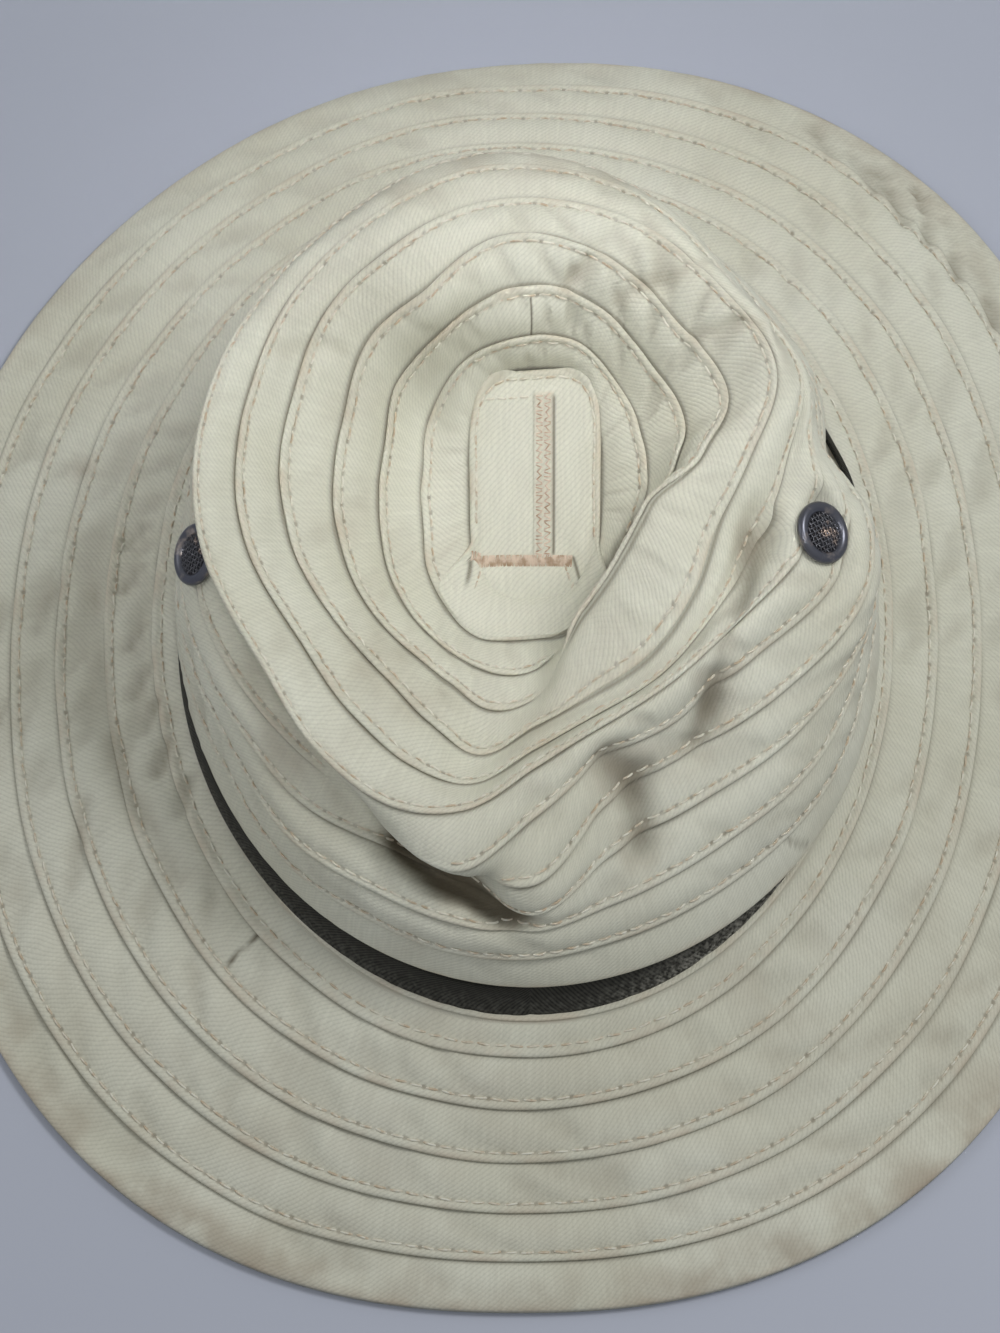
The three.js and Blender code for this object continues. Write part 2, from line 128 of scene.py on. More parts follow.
# A strip whose edge is rolled under, with no row of stitches near it
ROLL_ROWS = [
    (0.1, 0.2), (0.0, 0.5), (0.15, 0.85), (0.6, 1.1), (1.5, 1.25), (3.0, 1.3), (5.0, 1.25),
    (7.0, 1.05), (9.0, 0.66), (10.5, 0.28), (11.6, 0.06), (12.8, 0.0),
]
# Narrow folded edge that the band stands on
COLLAR_ROWS = [
    (0.1, 0.5), (0.0, 0.75), (0.15, 1.05), (0.5, 1.2), (0.9, 1.1), (1.5, 0.7), (3.0, 0.45), (4.4, 0.0),
]
COLLAR_SEAM = 0.40
COLLAR_COVER = 6.5  # inset at which the brim's innermost strip goes under the collar
STITCH_INSET = 2.1  # from a strip's folded edge to its row of stitches
STITCH_PITCH = 3.8
CROWN_SECTIONS = 540
BRIM_SECTIONS = 640

# The fold on the right of the crown rolls over the hollow, with a painted shadow line on the cloth it
# touches
OVERHANG = {"start": (0, 18), "end": (60, 84), "seam": 9.0, "spread": 0.6, "reach": 4.6}
UNDER_FOLD = {
    "start": (10, 20), "end": (66, 80), "turn": 36, "spread": 56,
    "top": 9.6, "seam": 11.5, "fade": 0.16, "dark": 0.6,
}
# Seams that slip inwards along the fold, and how far in strips
SEAM_SLIP = {8: 0.06, 9: 0.14, 10: 0.22, 11: 0.10}
# Seams that are lost under the nose and behind the fold, between two ramps of turns
HIDDEN_SEAMS = {
    4: ((-42, -32), (-6, -1)),
    5: ((-60, -46), (-14, -8)),
    9: ((-3, 3), (8, 14)),
    10: ((2, 8), (60, 74)),
}
HIDDEN_HEIGHT = 0.2  # share of a strip's height that is left there
HIDDEN_DENTS = 0.3  # share of its dents that is left there

# Creases pressed into the crown: depth, half-width, and the seam and turn of points along each
CREASES = [
    (1.5, 4.6, [(7.3, 76), (7.0, 65), (6.0, 47), (4.8, 38), (4.2, 33)]),
    (0.9, 4.2, [(7.15, 70), (6.95, 63), (6.5, 54)]),
    (0.6, 4.2, [(5.1, 41), (4.7, 37.5)]),
    (1.5, 8.5, [(4.8, 36), (4.3, 28), (4.1, 20)]),
    (1.9, 5.2, [(5.0, 13.5), (4.1, 18.5), (2.9, 18)]),
    (0.4, 3.6, [(4.95, 14), (4.7, 15)]),
    (0.8, 4.0, [(3.0, 18), (2.75, 18)]),
    (1.0, 3.0, [(9.6, 150), (8.6, 139), (7.6, 137)]),
    (0.9, 2.6, [(9.9, 168), (8.8, 160)]),
    (0.9, 2.6, [(8.9, 124), (7.9, 118)]),
    (0.8, 3.0, [(7.4, 246), (8.6, 240)]),
    (6.5, 4.3, [(3.2, 340), (2.95, 346), (2.8, 352), (2.45, 357)]),
    (-2.6, 5.0, [(4.5, 351), (4.0, 358)]),
    (0.5, 1.3, [(8.75, 20), (8.25, 34)]),
]
# Reach from the axis at which widths along the cloth are measured
CROWN_REACH, LEFT_REACH, JOINT_REACH, EDGE_REACH = 80.0, 115.0, 125.0, 165.0
# Sharp folds across the brim's outer strip at the back right; ridges count as less than nothing
BRIM_FOLDS = [
    (1.4, 1.9, [(5.35, 147.5), (4.95, 143.5)]),
    (1.8, 1.9, [(5.45, 145), (4.88, 139.3)]),
    (1.9, 1.8, [(5.65, 141), (4.95, 136.3)]),
    (1.9, 2.0, [(5.55, 137.5), (4.95, 131.6)]),
    (1.7, 2.2, [(5.4, 131.5), (5.05, 125.5)]),
    (1.2, 1.8, [(5.5, 152), (5.1, 149)]),
    (-1.5, 1.8, [(5.62, 143.4), (5.15, 138.7)]),
    (-1.6, 1.8, [(5.72, 139.3), (5.2, 134.6)]),
    (-1.5, 2.0, [(5.65, 134.6), (5.2, 129.2)]),
    (-1.2, 2.0, [(5.6, 128.5), (5.3, 123.5)]),
]
# Short slanted dents in the brim's inner strips on the left: seam and turn of each
SHORT_DENT = {"depth": 1.5, "width": 1.8, "seams": 0.15, "turns": 1.8}
SHORT_DENTS = [
    (1.55, 257.5), (1.5, 264.5), (1.35, 274), (1.3, 281.5), (1.2, 287.5), (1.1, 294.5), (0.9, 301.5),
]
# Long hollows beside them
LONG_DENTS = [
    (1.0, 2.3, [(2.3, 266.5), (2.05, 280.5), (1.95, 291.5), (1.9, 296), (1.65, 303.5), (1.6, 310.5)]),
    (1.2, 2.2, [(3.15, 265), (3.45, 270.5)]),
    (1.0, 2.2, [(2.75, 295), (3.05, 299)]),
]
# Dent in the right side, which lets the band show; the lip's fold and the foot go in by a share of it
SIDE_DENT = {
    "turn": 113, "lean": 3.2, "spread": 11, "depth": 6.6, "seams": (5.6, 7.6), "lip": 1.2, "foot": 0.5,
}
# Joints where one length of strip is sewn to the next: strip, turn and lean of the line
JOINTS = {"crown": [(0, 42, -0.5), (10, 182, 0.0)], "brim": [(4, 323, 0.2)]}
JOINT_WIDTH = 0.45

# Small relief of the sewn strips: how far it goes, and how many lumps of each kind go round the hat
CROWN_RELIEF = {
    "wobble": 0.45, "wobbles": 26, "wobble_layer": 80, "puckers": 64, "pucker_lean": 0.6,
    "dimple": 0.4, "dimples": 190, "joint": 0.35,
}
BRIM_RELIEF = {
    "wobble": 0.5, "wobbles": 30, "wobble_layer": 60, "puckers": 92, "pucker_lean": 0.5,
    "dimple": 0.5, "dimples": 240, "joint": 0.4,
}
# Steps through the noise from strip to strip, so that no two strips are alike
WOBBLE_STEP, PUCKER_STEP, DIMPLE_STEP = 3.3, 7.3, 5.1
DIMPLE_LAYER = 40
DIMPLE_WIDTH = 1.4
PUCKER = {"edge": 0.8, "length": 12, "gain": 2.7, "least": 0.12}
PRESSED_HEIGHT = 0.75  # share of a strip's height that is lost where it is pressed flat
BRIM_LOWEST = -1.2  # the brim's relief goes no lower, so that it stays above the underside
# How crumpled the crown's strips are: all over, more below the crest, and most at the back right
CRUMPLED = {
    "all": 0.6, "side": 0.3, "back": 1.0,
    "turns": ((95, 125), (165, 195)), "seams": ((6.5, 7.5), (10.5, 11.5)),
}
# Depth of the brim's puckers: all round, more at both sides, and a little more on the left
BRIM_PUCKERS = {"all": 0.9, "sides": 0.5, "left": 0.1, "edge": (0.05, 0.6), "foot": (0.4, 1.0)}

# Grime on the crown in blotches, and painted shade in creases and dents and on the back of the crest
CROWN_GRIME_AND_SHADE = {"size": 26, "gain": 1.4, "blotch": 0.45, "crease": 0.6, "dent": 0.2}
BACK_SHADE = {"most": 0.5, "turns": ((140, 170), (200, 230)), "seams": ((3.5, 5), (7, 8))}
CREASE_SHADE = (0.4, 4.2)  # depths at which a crease's painted shade starts and is darkest
# How dark the painted shade is in the crown's dents, the brim's dents and the brim's folds
DENT_SHADE = {"crown": 0.14, "brim": 0.13, "fold": 0.2}


# Curves and outlines

def oval(turns, size, power=None):
    """Radius of an oval in each direction; a power above 2 makes its corners fuller."""
    angle = np.radians(turns)
    power = size["power"] if power is None else power
    across = np.abs(np.sin(angle) / size["half_width"]) ** power
    along = np.abs(np.cos(angle) / size["half_length"]) ** power
    return (across + along) ** (-1 / power)


def smooth_curve(start, end, start_slope, end_slope, width, share):
    """Smooth curve between two values with given slopes."""
    near = (1 + 2 * share) * (1 - share) ** 2 * start + share * (1 - share) ** 2 * width * start_slope
    far = share**2 * (3 - 2 * share) * end + share**2 * (share - 1) * width * end_slope
    return near + far


def smooth_step(values, low, high):
    """0 up to the low value, 1 from the high one, and smooth between them."""
    share = np.clip((values - low) / (high - low), 0, 1)
    return share * share * (3 - 2 * share)


def bell(off, width):
    """1 at no distance, and next to nothing at twice the width."""
    return np.exp(-((off / width) ** 2))


def from_front(turns):
    """Turns from -180 to 180, with 0 at the front."""
    return (turns + 180) % 360 - 180


def pull_depth(turns, pulls):
    """How far a line round the hat is drawn in by the places that pull it."""
    depth = np.zeros_like(turns)
    for place, most in pulls["places"]:
        nearness = np.clip(np.cos(np.radians(turns - place)), 0, 1)
        depth += most * nearness ** pulls["sharpness"]
    return depth


def unit(vectors):
    """Vectors of length 1 in the same directions."""
    return vectors / np.maximum(np.linalg.norm(vectors, axis=-1, keepdims=True), 1e-12)


def soft_noise(x, y, z):
    """Smooth noise of about -0.6 to 0.6 at matching coordinates."""
    points = np.stack(np.broadcast_arrays(x, y, z), -1).reshape(-1, 3)
    return np.array([noise.noise(point) for point in points.tolist()])


def around(turns, reach, height, axis_x=0.0, axis_y=0.0):
    """Points at a reach and height from an upright axis."""
    angle = np.radians(turns)
    x, y = axis_x + reach * np.sin(angle), axis_y - reach * np.cos(angle)
    return np.stack(np.broadcast_arrays(x, y, height), -1)


# Crown surface

SEAM_NUMBERS = np.array([0, *SECTION_SEAMS, CROWN_STRIPS], float)


def section_table(turns):
    """Reach and height of the table's seams in each direction: two arrays, a row for each direction."""
    knots = np.array([row[0] for row in SECTIONS], float)
    values = np.array([row[1:] for row in SECTIONS], float).reshape(len(SECTIONS), -1)
    spans = (np.roll(knots, -1) - np.roll(knots, 1)) % 360
    slopes = (np.roll(values, -1, 0) - np.roll(values, 1, 0)) / spans[:, None]
    turns = turns % 360
    here = np.searchsorted(knots, turns, side="right") - 1
    after = (here + 1) % len(knots)
    width = ((knots[after] - knots[here]) % 360)[:, None]
    share = (turns - knots[here])[:, None] / width
    table = smooth_curve(values[here], values[after], slopes[here], slopes[after], width, share)
    return table[:, 0::2], table[:, 1::2]


def across_seams(columns, seams):
    """Smooth value at a seam number on each row of values at the known seams."""
    steps = np.diff(SEAM_NUMBERS)
    grades = np.diff(columns, axis=1) / steps
    inner = (steps[1:] * grades[:, :-1] + steps[:-1] * grades[:, 1:]) / (steps[1:] + steps[:-1])
    slopes = np.concatenate([grades[:, :1], inner, grades[:, -1:]], axis=1)
    here = np.clip(np.searchsorted(SEAM_NUMBERS, seams, side="right") - 1, 0, len(steps) - 1)
    row = np.arange(len(seams))
    share = (seams - SEAM_NUMBERS[here]) / steps[here]
    ends = columns[row, here], columns[row, here + 1], slopes[row, here], slopes[row, here + 1]
    return smooth_curve(*ends, steps[here], share)


def patch_height(turns, reach):
    """Height of the patch's plane."""
    angle = np.radians(turns)
    slope = PATCH_PLACE["lean"] * np.sin(angle) - PATCH_PLACE["rise"] * np.cos(angle)
    return PATCH_PLACE["height"] + slope * reach


def soft_crown(seams, turns):
    """Points of the crown's smooth outer face, before the vents press it."""
    reaches, heights = section_table(turns)
    lip = oval(turns, LIP) - pull_depth(turns, LIP_PULLS)
    edge = oval(turns, PATCH)
    lip_height = np.full_like(lip, LIP_HEIGHT)
    reaches = np.concatenate([lip[:, None], reaches, edge[:, None]], axis=1)
    heights = np.concatenate([lip_height[:, None], heights, patch_height(turns, edge)[:, None]], axis=1)
    share = seams / CROWN_STRIPS
    axis_x = HEAD_OFFSET + PATCH_PLACE["x"] * share
    reach, height = across_seams(reaches, seams), across_seams(heights, seams)
    return around(turns, reach, height, axis_x, PATCH_PLACE["y"] * share)


SEAM_END = 0.06  # normals are read no closer than this to a surface's last seam


def face_normals(surface, seams, turns, seam_span=0.05, turn_span=0.5):
    """Outward normals of a surface given by seam number and turn."""
    up = surface(seams + seam_span, turns) - surface(np.maximum(seams - seam_span, 0), turns)
    along = surface(seams, turns + turn_span) - surface(seams, turns - turn_span)
    return unit(np.cross(along, up))


def vent_seat(name):
    """Middle and outward normal of the cloth under a vent."""
    seam, turn = (np.array([value]) for value in VENTS[name])
    normal = face_normals(soft_crown, seam, turn, VENT_SEAT["seams"], VENT_SEAT["turns"])
    return soft_crown(seam, turn)[0] - normal[0] * VENT_SINK[name], unit(normal[0] + VENT_LEAN[name])


SEATS = {name: vent_seat(name) for name in VENTS}


def vent_press(name, seams, turns):
    """How far a vent presses the cloth, from 1 under it to 0 clear of it."""
    seam, turn = VENTS[name]
    across = (seams - seam) * STRIP
    along = 2 * VENT_SEAT["reach"] * np.sin(np.radians(turns - turn) / 2)
    return 1 - smooth_step(np.hypot(across, along), VENT_SEAT["flat"], VENT_SEAT["fade"])


def crown_point(seams, turns):
    """Points of the crown's outer face with the flat seats of the vents."""
    points = soft_crown(seams, turns)
    for name, (centre, normal) in SEATS.items():
        lift = vent_press(name, seams, turns) * ((points - centre) @ normal)
        points = points - lift[:, None] * normal
    return points


def fold_share(seams, turns, normals):
    """How far into a fold each point lies, from 0 on open cloth to 1 deep in it."""
    points = crown_point(seams, turns)
    hollows = []
    for seam_span, turn_span in FOLD_SPANS:
        before = crown_point(np.maximum(seams - seam_span, 0), turns - turn_span)
        after = crown_point(np.minimum(seams + seam_span, CROWN_STRIPS), turns + turn_span)
        hollows.append((((before + after) / 2 - points) * normals).sum(1))
    return np.clip(np.maximum(*hollows) / FOLD_HOLLOW, 0, 1)


# Brim surface

def brim_point(seams, turns):
    """Points of the brim's top face; seam 0 is under the crown's foot and seam 6 is the edge."""
    low = np.clip(np.floor(seams), 0, BRIM_STRIPS - 1).astype(int)
    share = seams - low
    backness = np.clip(-np.cos(np.radians(turns)), 0, 1) ** 2

    def at(index):
        half_width, half_length, power, shift, height, back = np.array(BRIM_SEAMS)[index].T
        reach = oval(turns, {"half_width": half_width, "half_length": half_length}, power)
        return reach, shift, height + (back - height) * backness

    (reach, shift, height), (reach_b, shift_b, height_b) = at(low), at(low + 1)
    pull = pull_depth(turns, BRIM_PULLS) * seams / BRIM_STRIPS
    reach = reach + (reach_b - reach) * share - pull
    return around(turns, reach, height + (height_b - height) * share, shift + (shift_b - shift) * share)


# Relief of the cloth

def ring_noise(turns, cells, layer):
    """Smooth noise round the hat that meets itself, with about the given number of lumps in a full turn."""
    angle = np.radians(turns)
    radius = cells / (2 * math.pi)
    return soft_noise(radius * np.cos(angle), radius * np.sin(angle), layer)


def between(values, start, end):
    """1 between two ramps and 0 outside them; each ramp is a low and a high value."""
    return smooth_step(values, *start) * (1 - smooth_step(values, *end))


def edge_wobble(turns, strip, inset, relief):
    """How far a strip wanders off its seam, less and less from its folded edge inwards."""
    wander = ring_noise(turns, relief["wobbles"], strip * WOBBLE_STEP + relief["wobble_layer"])
    return relief["wobble"] * wander * (strip > 0) * (1 - inset / STRIP)


def mid_strip(inset):
    """1 in the middle of a strip and 0 along its edges."""
    return np.sin(np.pi * np.clip((inset - PUCKER["edge"]) / STRIP, 0, 1))


def puckers(turns, strip, inset, relief):
    """Dents from 0 to 1 that cross a strip on the slant where its thread draws it up."""
    slanted = turns + relief["pucker_lean"] * inset
    lumps = ring_noise(slanted, relief["puckers"], strip * PUCKER_STEP + inset / PUCKER["length"])
    return np.clip(lumps * PUCKER["gain"] - PUCKER["least"], 0, 1) * mid_strip(inset)


def stitch_dimples(turns, strip, inset, relief):
    """Unevenness of the cloth close to a row of stitches."""
    lumps = ring_noise(turns, relief["dimples"], strip * DIMPLE_STEP + DIMPLE_LAYER)
    return relief["dimple"] * bell(inset - STITCH_INSET, DIMPLE_WIDTH) * lumps


def crease_depth(seams, turns, creases, reach):
    """Depth of creases that are pressed into the cloth; a ridge counts as less than nothing."""
    total = np.zeros_like(seams)
    place = np.stack([seams * STRIP, np.zeros_like(seams)], -1)
    around_mm = reach * math.radians(1)
    for depth, width, route in creases:
        nearness = np.zeros_like(seams)
        for (seam, turn), (next_seam, next_turn) in zip(route, route[1:]):
            place[:, 1] = from_front(turns - turn) * around_mm
            start = np.array([seam * STRIP, 0.0])
            step = np.array([(next_seam - seam) * STRIP, (next_turn - turn) * around_mm])
            share = np.clip(((place - start) @ step) / (step @ step), 0, 1)
            off = np.linalg.norm(place - start - share[:, None] * step, axis=1)
            nearness = np.maximum(nearness, bell(off, width))
        total += depth * nearness
    return total


def joint_lines(joints, strip, inset, turns, reach):
    """1 on the short lines where lengths of strip are joined, 0 elsewhere."""
    line = np.zeros_like(turns)
    for joint_strip, turn, lean in joints:
        off = from_front(turns - turn) * math.radians(1) * reach - lean * (inset - STRIP / 2)
        line = np.maximum(line, (strip == joint_strip) * bell(off, JOINT_WIDTH))
    return line * (inset > STITCH_INSET)


# Meshes

def new_object(name, data):
    """New object in the scene."""
    piece = bpy.data.objects.new(name, data)
    bpy.context.scene.collection.objects.link(piece)
    return piece


def closed(values):
    """A ring's values with the first one again at the end."""
    return np.concatenate([values, values[:1]])


def run_lengths(points):
    """Length along a line of points, from 0 at the first."""
    return np.concatenate([[0], np.cumsum(np.linalg.norm(np.diff(points, axis=0), axis=1))])


class Wall:
    """Rings of a closed cloth wall, with the measures that its material reads on each ring."""

    STRIP_STEP = 20.0  # each strip has its own band of the cloth's pattern, this wide
    MEASURES = ("wear", "crevice", "sewn", "stain")
    LAP_SHADE = 0.7  # how dark the painted shade is under a folded edge
    SHADE_WIDTH = 0.75  # how far the painted shade beside the next strip's edge reaches
    WORN_WIDTH = 1.5  # how far a folded edge is worn
    HIDDEN_ROWS = 2  # rows of a lap that lie under it

    def __init__(self, sections):
        self.turns = np.arange(sections) * 360 / sections
        self.rings, self.along, self.across = [], [], []
        self.measures = {label: [] for label in self.MEASURES}

    def add(self, points, along=None, across=0.0, **measures):
        """One ring, with where it lies along and across the cloth's pattern."""
        along = run_lengths(closed(points)) if along is None else along
        self.rings.append(points)
        self.along.append(along)
        self.across.append(np.broadcast_to(across, along.shape))
        for label, values in self.measures.items():
            values.append(np.broadcast_to(measures.get(label, 0.0), len(points)))

    def add_sewn(self, rows, face):
        """Rings of sewn strips, measured along each strip's row of stitches in whole stitches."""
        for strip in np.unique(rows[:, 0]):
            own = np.flatnonzero(rows[:, 0] == strip)
            rolled = len(own) != len(LAP_ROWS)
            sewn_row = own[len(own) // 2] if rolled else own[rows[own, 1] == STITCH_INSET][0]
            along = run_lengths(closed(face["points"][sewn_row]))
            along = along * round(along[-1] / STITCH_PITCH) * STITCH_PITCH / along[-1]
            for order, row in enumerate(own):
                inset = rows[row, 1]
                hidden = order < self.HIDDEN_ROWS and not rolled
                shown = face["shown"][row]
                # Painted shade: rows under a folded edge and the cloth beside the next strip's edge are
                # darkened, with the face's dark lines on top
                shade = self.LAP_SHADE * bell(inset - STRIP, self.SHADE_WIDTH) * face["next_shown"][row]
                self.add(
                    face["points"][row],
                    along,
                    strip * self.STRIP_STEP + inset,
                    wear=0.0 if hidden else shown * bell(inset, self.WORN_WIDTH),
                    crevice=self.LAP_SHADE * shown if hidden else np.maximum(shade, face["lines"][row]),
                    sewn=0.0 if rolled else shown,
                    stain=face["stain"][row],
                )

    def build(self, name):
        """The wall as an object, each ring joined to the next and the last to the first."""
        rings = np.array(self.rings)
        count, sections = rings.shape[:2]
        i = np.arange(sections)
        j = (i + 1) % sections
        faces, corners = [], []
        for ring in range(count):
            after = (ring + 1) % count
            here, there = ring * sections, after * sections
            faces.append(np.stack([here + i, here + j, there + j, there + i], -1))
            own, following = (np.stack([self.along[r], self.across[r]], -1) for r in (ring, after))
            corners.append(np.stack([own[i], own[i + 1], following[i + 1], following[i]], 1))
        faces = np.concatenate(faces)
        mesh = bpy.data.meshes.new(name)
        mesh.from_pydata((rings.reshape(-1, 3) * MM).tolist(), [], faces.tolist())
        pattern = np.concatenate(corners).astype(np.float32) * MM
        mesh.uv_layers.new(name="cloth").data.foreach_set("uv", pattern.ravel())
        for label, values in self.measures.items():
            attribute = mesh.attributes.new(label, "FLOAT", "POINT")
            attribute.data.foreach_set("value", np.array(values, np.float32).ravel())
        mesh.polygons.foreach_set("use_smooth", np.ones(len(faces), bool))
        mesh.update()
        return new_object(name, mesh)


def sewn_rows(first, last, rolled=None):
    """Rows across the strips between two seams, from the outer fold inwards: strip, inset and height."""
    rows = []
    for strip in range(first, last):
        profile = ROLL_ROWS if strip == rolled else LAP_ROWS
        rows += [(strip, inset, height) for inset, height in profile]
    return np.array(rows, float)


def spread(rows, turns):
    """Columns of the rows and the turns, matched for every point of a grid [row, section]."""
    columns = [np.repeat(column, len(turns)) for column in rows.T]
    return (*columns, np.tile(turns, len(rows)))


# Places of stitches

STITCH_SPAN = 0.8  # from a stitch's middle to the points that give its direction


def stitch_places(points, normals, pitch=STITCH_PITCH, shown=None):
    """Middle, direction and cloth normal of each stitch, at an even pitch along a row of points."""
    run = run_lengths(points)
    count = max(round(run[-1] / pitch), 1)
    at = (np.arange(count) + 0.5) * run[-1] / count
    if shown is not None:
        at = at[np.interp(at, run, shown) > 0.5]

    def read(values, where):
        return np.stack([np.interp(where, run, values[:, axis]) for axis in range(3)], -1)

    ahead = unit(read(points, at + STITCH_SPAN) - read(points, at - STITCH_SPAN))
    return read(points, at), ahead, unit(read(normals, at))


def join_places(found):
    """Places of several rows as one set."""
    return [np.concatenate(part) for part in zip(*found)]


def sewn_stitches(rows, face):
    """Stitches on every sewn strip of a wall."""
    found = []
    for row in np.flatnonzero(rows[:, 1] == STITCH_INSET):
        points, normals, shown = (closed(face[label][row]) for label in ("points", "normals", "shown"))
        found.append(stitch_places(points, normals, shown=shown))
    return join_places(found)


def along_cloth(runs, normals):
    """Directions laid flat on the cloth."""
    return unit(runs - (runs * normals).sum(1)[:, None] * normals)


# Crown pieces

def under_fold(seams, turns):
    """Painted shadow line on the crown top where the rolled fold lies on it, 0 to 1."""
    turned = from_front(turns)
    limit = UNDER_FOLD["seam"] - ((turned - UNDER_FOLD["turn"]) / UNDER_FOLD["spread"]) ** 2
    along = between(turned, UNDER_FOLD["start"], UNDER_FOLD["end"])
    covered = (seams > UNDER_FOLD["top"]) * (1 - smooth_step(seams, limit, limit + UNDER_FOLD["fade"]))
    return UNDER_FOLD["dark"] * along * covered


def fold_over(turns):
    """1 along the fold that rolls over the hollow, 0 elsewhere."""
    return between(from_front(turns), OVERHANG["start"], OVERHANG["end"])


def seam_shown(strip, turns):
    """1 where a strip's folded edge can be seen, 0 where it is lost in a fold."""
    shown = np.ones_like(turns)
    for hidden, (start, end) in HIDDEN_SEAMS.items():
        shown -= (strip == hidden) * between(from_front(turns), start, end)
    return shown


def side_dent(seams, turns):
    """Depth of the dent in the right side, which leans forwards as it rises."""
    off_turn = turns - SIDE_DENT["turn"] + SIDE_DENT["lean"] * seams
    held = 1 - smooth_step(seams, *SIDE_DENT["seams"])
    return SIDE_DENT["depth"] * held * bell(off_turn, SIDE_DENT["spread"])


def rolled_crown(seams, turns):
    """Points of the crown's outer face with its right side dented and its fold rolled over the hollow."""
    points = crown_point(seams, turns)
    roll = fold_over(turns) * bell(seams - OVERHANG["seam"], OVERHANG["spread"])
    angle = np.radians(turns)
    inwards = np.stack([-np.sin(angle), np.cos(angle), np.zeros_like(angle)], -1)
    return points + inwards * (OVERHANG["reach"] * roll + side_dent(seams, turns))[:, None]


def crown_stain(seams, turns, points, creased, dents):
    """Grime of the crown in blotches, with painted shade added in its creases and dents and on the back of
    the crest.
    """
    blotch = soft_noise(*(points / CROWN_GRIME_AND_SHADE["size"]).T)
    grime_and_shade = CROWN_GRIME_AND_SHADE["blotch"] * np.clip(blotch * CROWN_GRIME_AND_SHADE["gain"], 0, 1)
    grime_and_shade += CROWN_GRIME_AND_SHADE["crease"] * np.clip(creased, 0, 1) + CROWN_GRIME_AND_SHADE["dent"] * dents
    back = between(turns, *BACK_SHADE["turns"]) * between(seams, *BACK_SHADE["seams"])
    return grime_and_shade + BACK_SHADE["most"] * back


def crown_face(rows, turns):
    """Points, normals, dirt with painted shade, dark lines with painted shade, and shown seams of the
    crown's outer face, each [row, section].
    """
    strip, inset, height, turn = spread(rows, turns)
    slip = np.zeros_like(turn)
    for slipped, most in SEAM_SLIP.items():
        slip += (strip == slipped) * most * fold_over(turn) * (1 - inset / STRIP)
    wobble = edge_wobble(turn, strip, inset, CROWN_RELIEF) * (strip != CREST_SEAM)
    seams = strip + slip + (inset + wobble) / STRIP
    points = rolled_crown(seams, turn)
    normals = face_normals(rolled_crown, seams, turn)
    pressed = np.maximum.reduce([vent_press(name, seams, turn) for name in VENTS])
    pressed = np.maximum(pressed, fold_share(seams, turn, normals))
    crumpled = CRUMPLED["back"] * between(turn, *CRUMPLED["turns"]) * between(seams, *CRUMPLED["seams"])
    crumpled += CRUMPLED["all"] + CRUMPLED["side"] * (strip < CREST_SEAM)
    shown = seam_shown(strip, turn)
    relief = height * (1 - PRESSED_HEIGHT * pressed) * (HIDDEN_HEIGHT + (1 - HIDDEN_HEIGHT) * shown)
    loose = (1 - pressed) * smooth_step(seams, 0.0, 1.0) * (HIDDEN_DENTS + (1 - HIDDEN_DENTS) * shown)
    dents = puckers(turn, strip, inset, CROWN_RELIEF) * crumpled * loose
    relief -= dents
    relief += stitch_dimples(turn, strip, inset, CROWN_RELIEF) * (1 - pressed)
    creased = crease_depth(seams, turn, CREASES, CROWN_REACH)
    relief -= creased
    joints = joint_lines(JOINTS["crown"], strip, inset, turn, CROWN_REACH)
    relief -= CROWN_RELIEF["joint"] * joints
    # Painted shade: creases and dents are darkened, and so is the line where the rolled fold lies on the
    # top; the joints' dark line is their own
    crease_shade = smooth_step(creased, *CREASE_SHADE)
    lines = np.maximum.reduce([joints, crease_shade, DENT_SHADE["crown"] * dents, under_fold(seams, turn)])
    shape = len(rows), len(turns)
    return {
        "points": (points + normals * relief[:, None]).reshape(*shape, 3),
        "normals": normals.reshape(*shape, 3),
        "stain": crown_stain(seams, turn, points, creased, dents).reshape(shape),
        "lines": lines.reshape(shape),
        "shown": shown.reshape(shape),
        "next_shown": seam_shown(strip + 1, turn).reshape(shape),
    }


def crown_inside(seams, turns):
    """Rings of the crown's inner face at the given seams."""
    rings = []
    for seam in seams:
        level = np.full_like(turns, seam)
        normals = face_normals(rolled_crown, level, turns)
        pressed = crease_depth(level, turns, CREASES, CROWN_REACH)
        folded = fold_share(level, turns, normals)
        depth = CLOTH + FOLD_EXTRA * folded + pressed + CREASE_EXTRA * np.maximum(pressed, 0)
        rings.append(rolled_crown(level, turns) - normals * depth[:, None])
    return rings


def foot_ring(turns, size, height, grow):
    """Ring of the crown's foot, grown by the given amount."""
    return around(turns, oval(turns, size) + grow, height, HEAD_OFFSET)


def crown_side():
    """Side of the crown, from its foot over the rolled lip to the crest."""
    wall = Wall(CROWN_SECTIONS)
    turns = wall.turns
    rows = sewn_rows(0, CREST_SEAM, rolled=0)
    face = crown_face(rows, turns)
    dent = side_dent(np.zeros_like(turns), turns)
    foot_dent, lip_dent = SIDE_DENT["foot"] * dent, SIDE_DENT["lip"] * dent
    wall.add(foot_ring(turns, FOOT_BOTTOM, FOOT_BOTTOM["height"], -foot_dent))
    wall.add(foot_ring(turns, FOOT_TOP, FOOT_TOP["height"], -lip_dent))
    lip = oval(turns, LIP) - pull_depth(turns, LIP_PULLS) - lip_dent
    wall.add(around(turns, lip - LIP_FOLD, LIP_HEIGHT - LIP_FOLD, HEAD_OFFSET))
    wall.add_sewn(rows, face)
    for ring in crown_inside(np.arange(CREST_SEAM, -SIDE_STEP / 2, -SIDE_STEP), turns):
        wall.add(ring)
    wall.add(foot_ring(turns, FOOT_TOP, FOOT_TOP["height"] + CLOTH, -CLOTH - lip_dent))
    wall.add(foot_ring(turns, FOOT_BOTTOM, FOOT_BOTTOM["height"], -CLOTH - foot_dent))
    return wall.build("crown_side_strips"), sewn_stitches(rows, face)


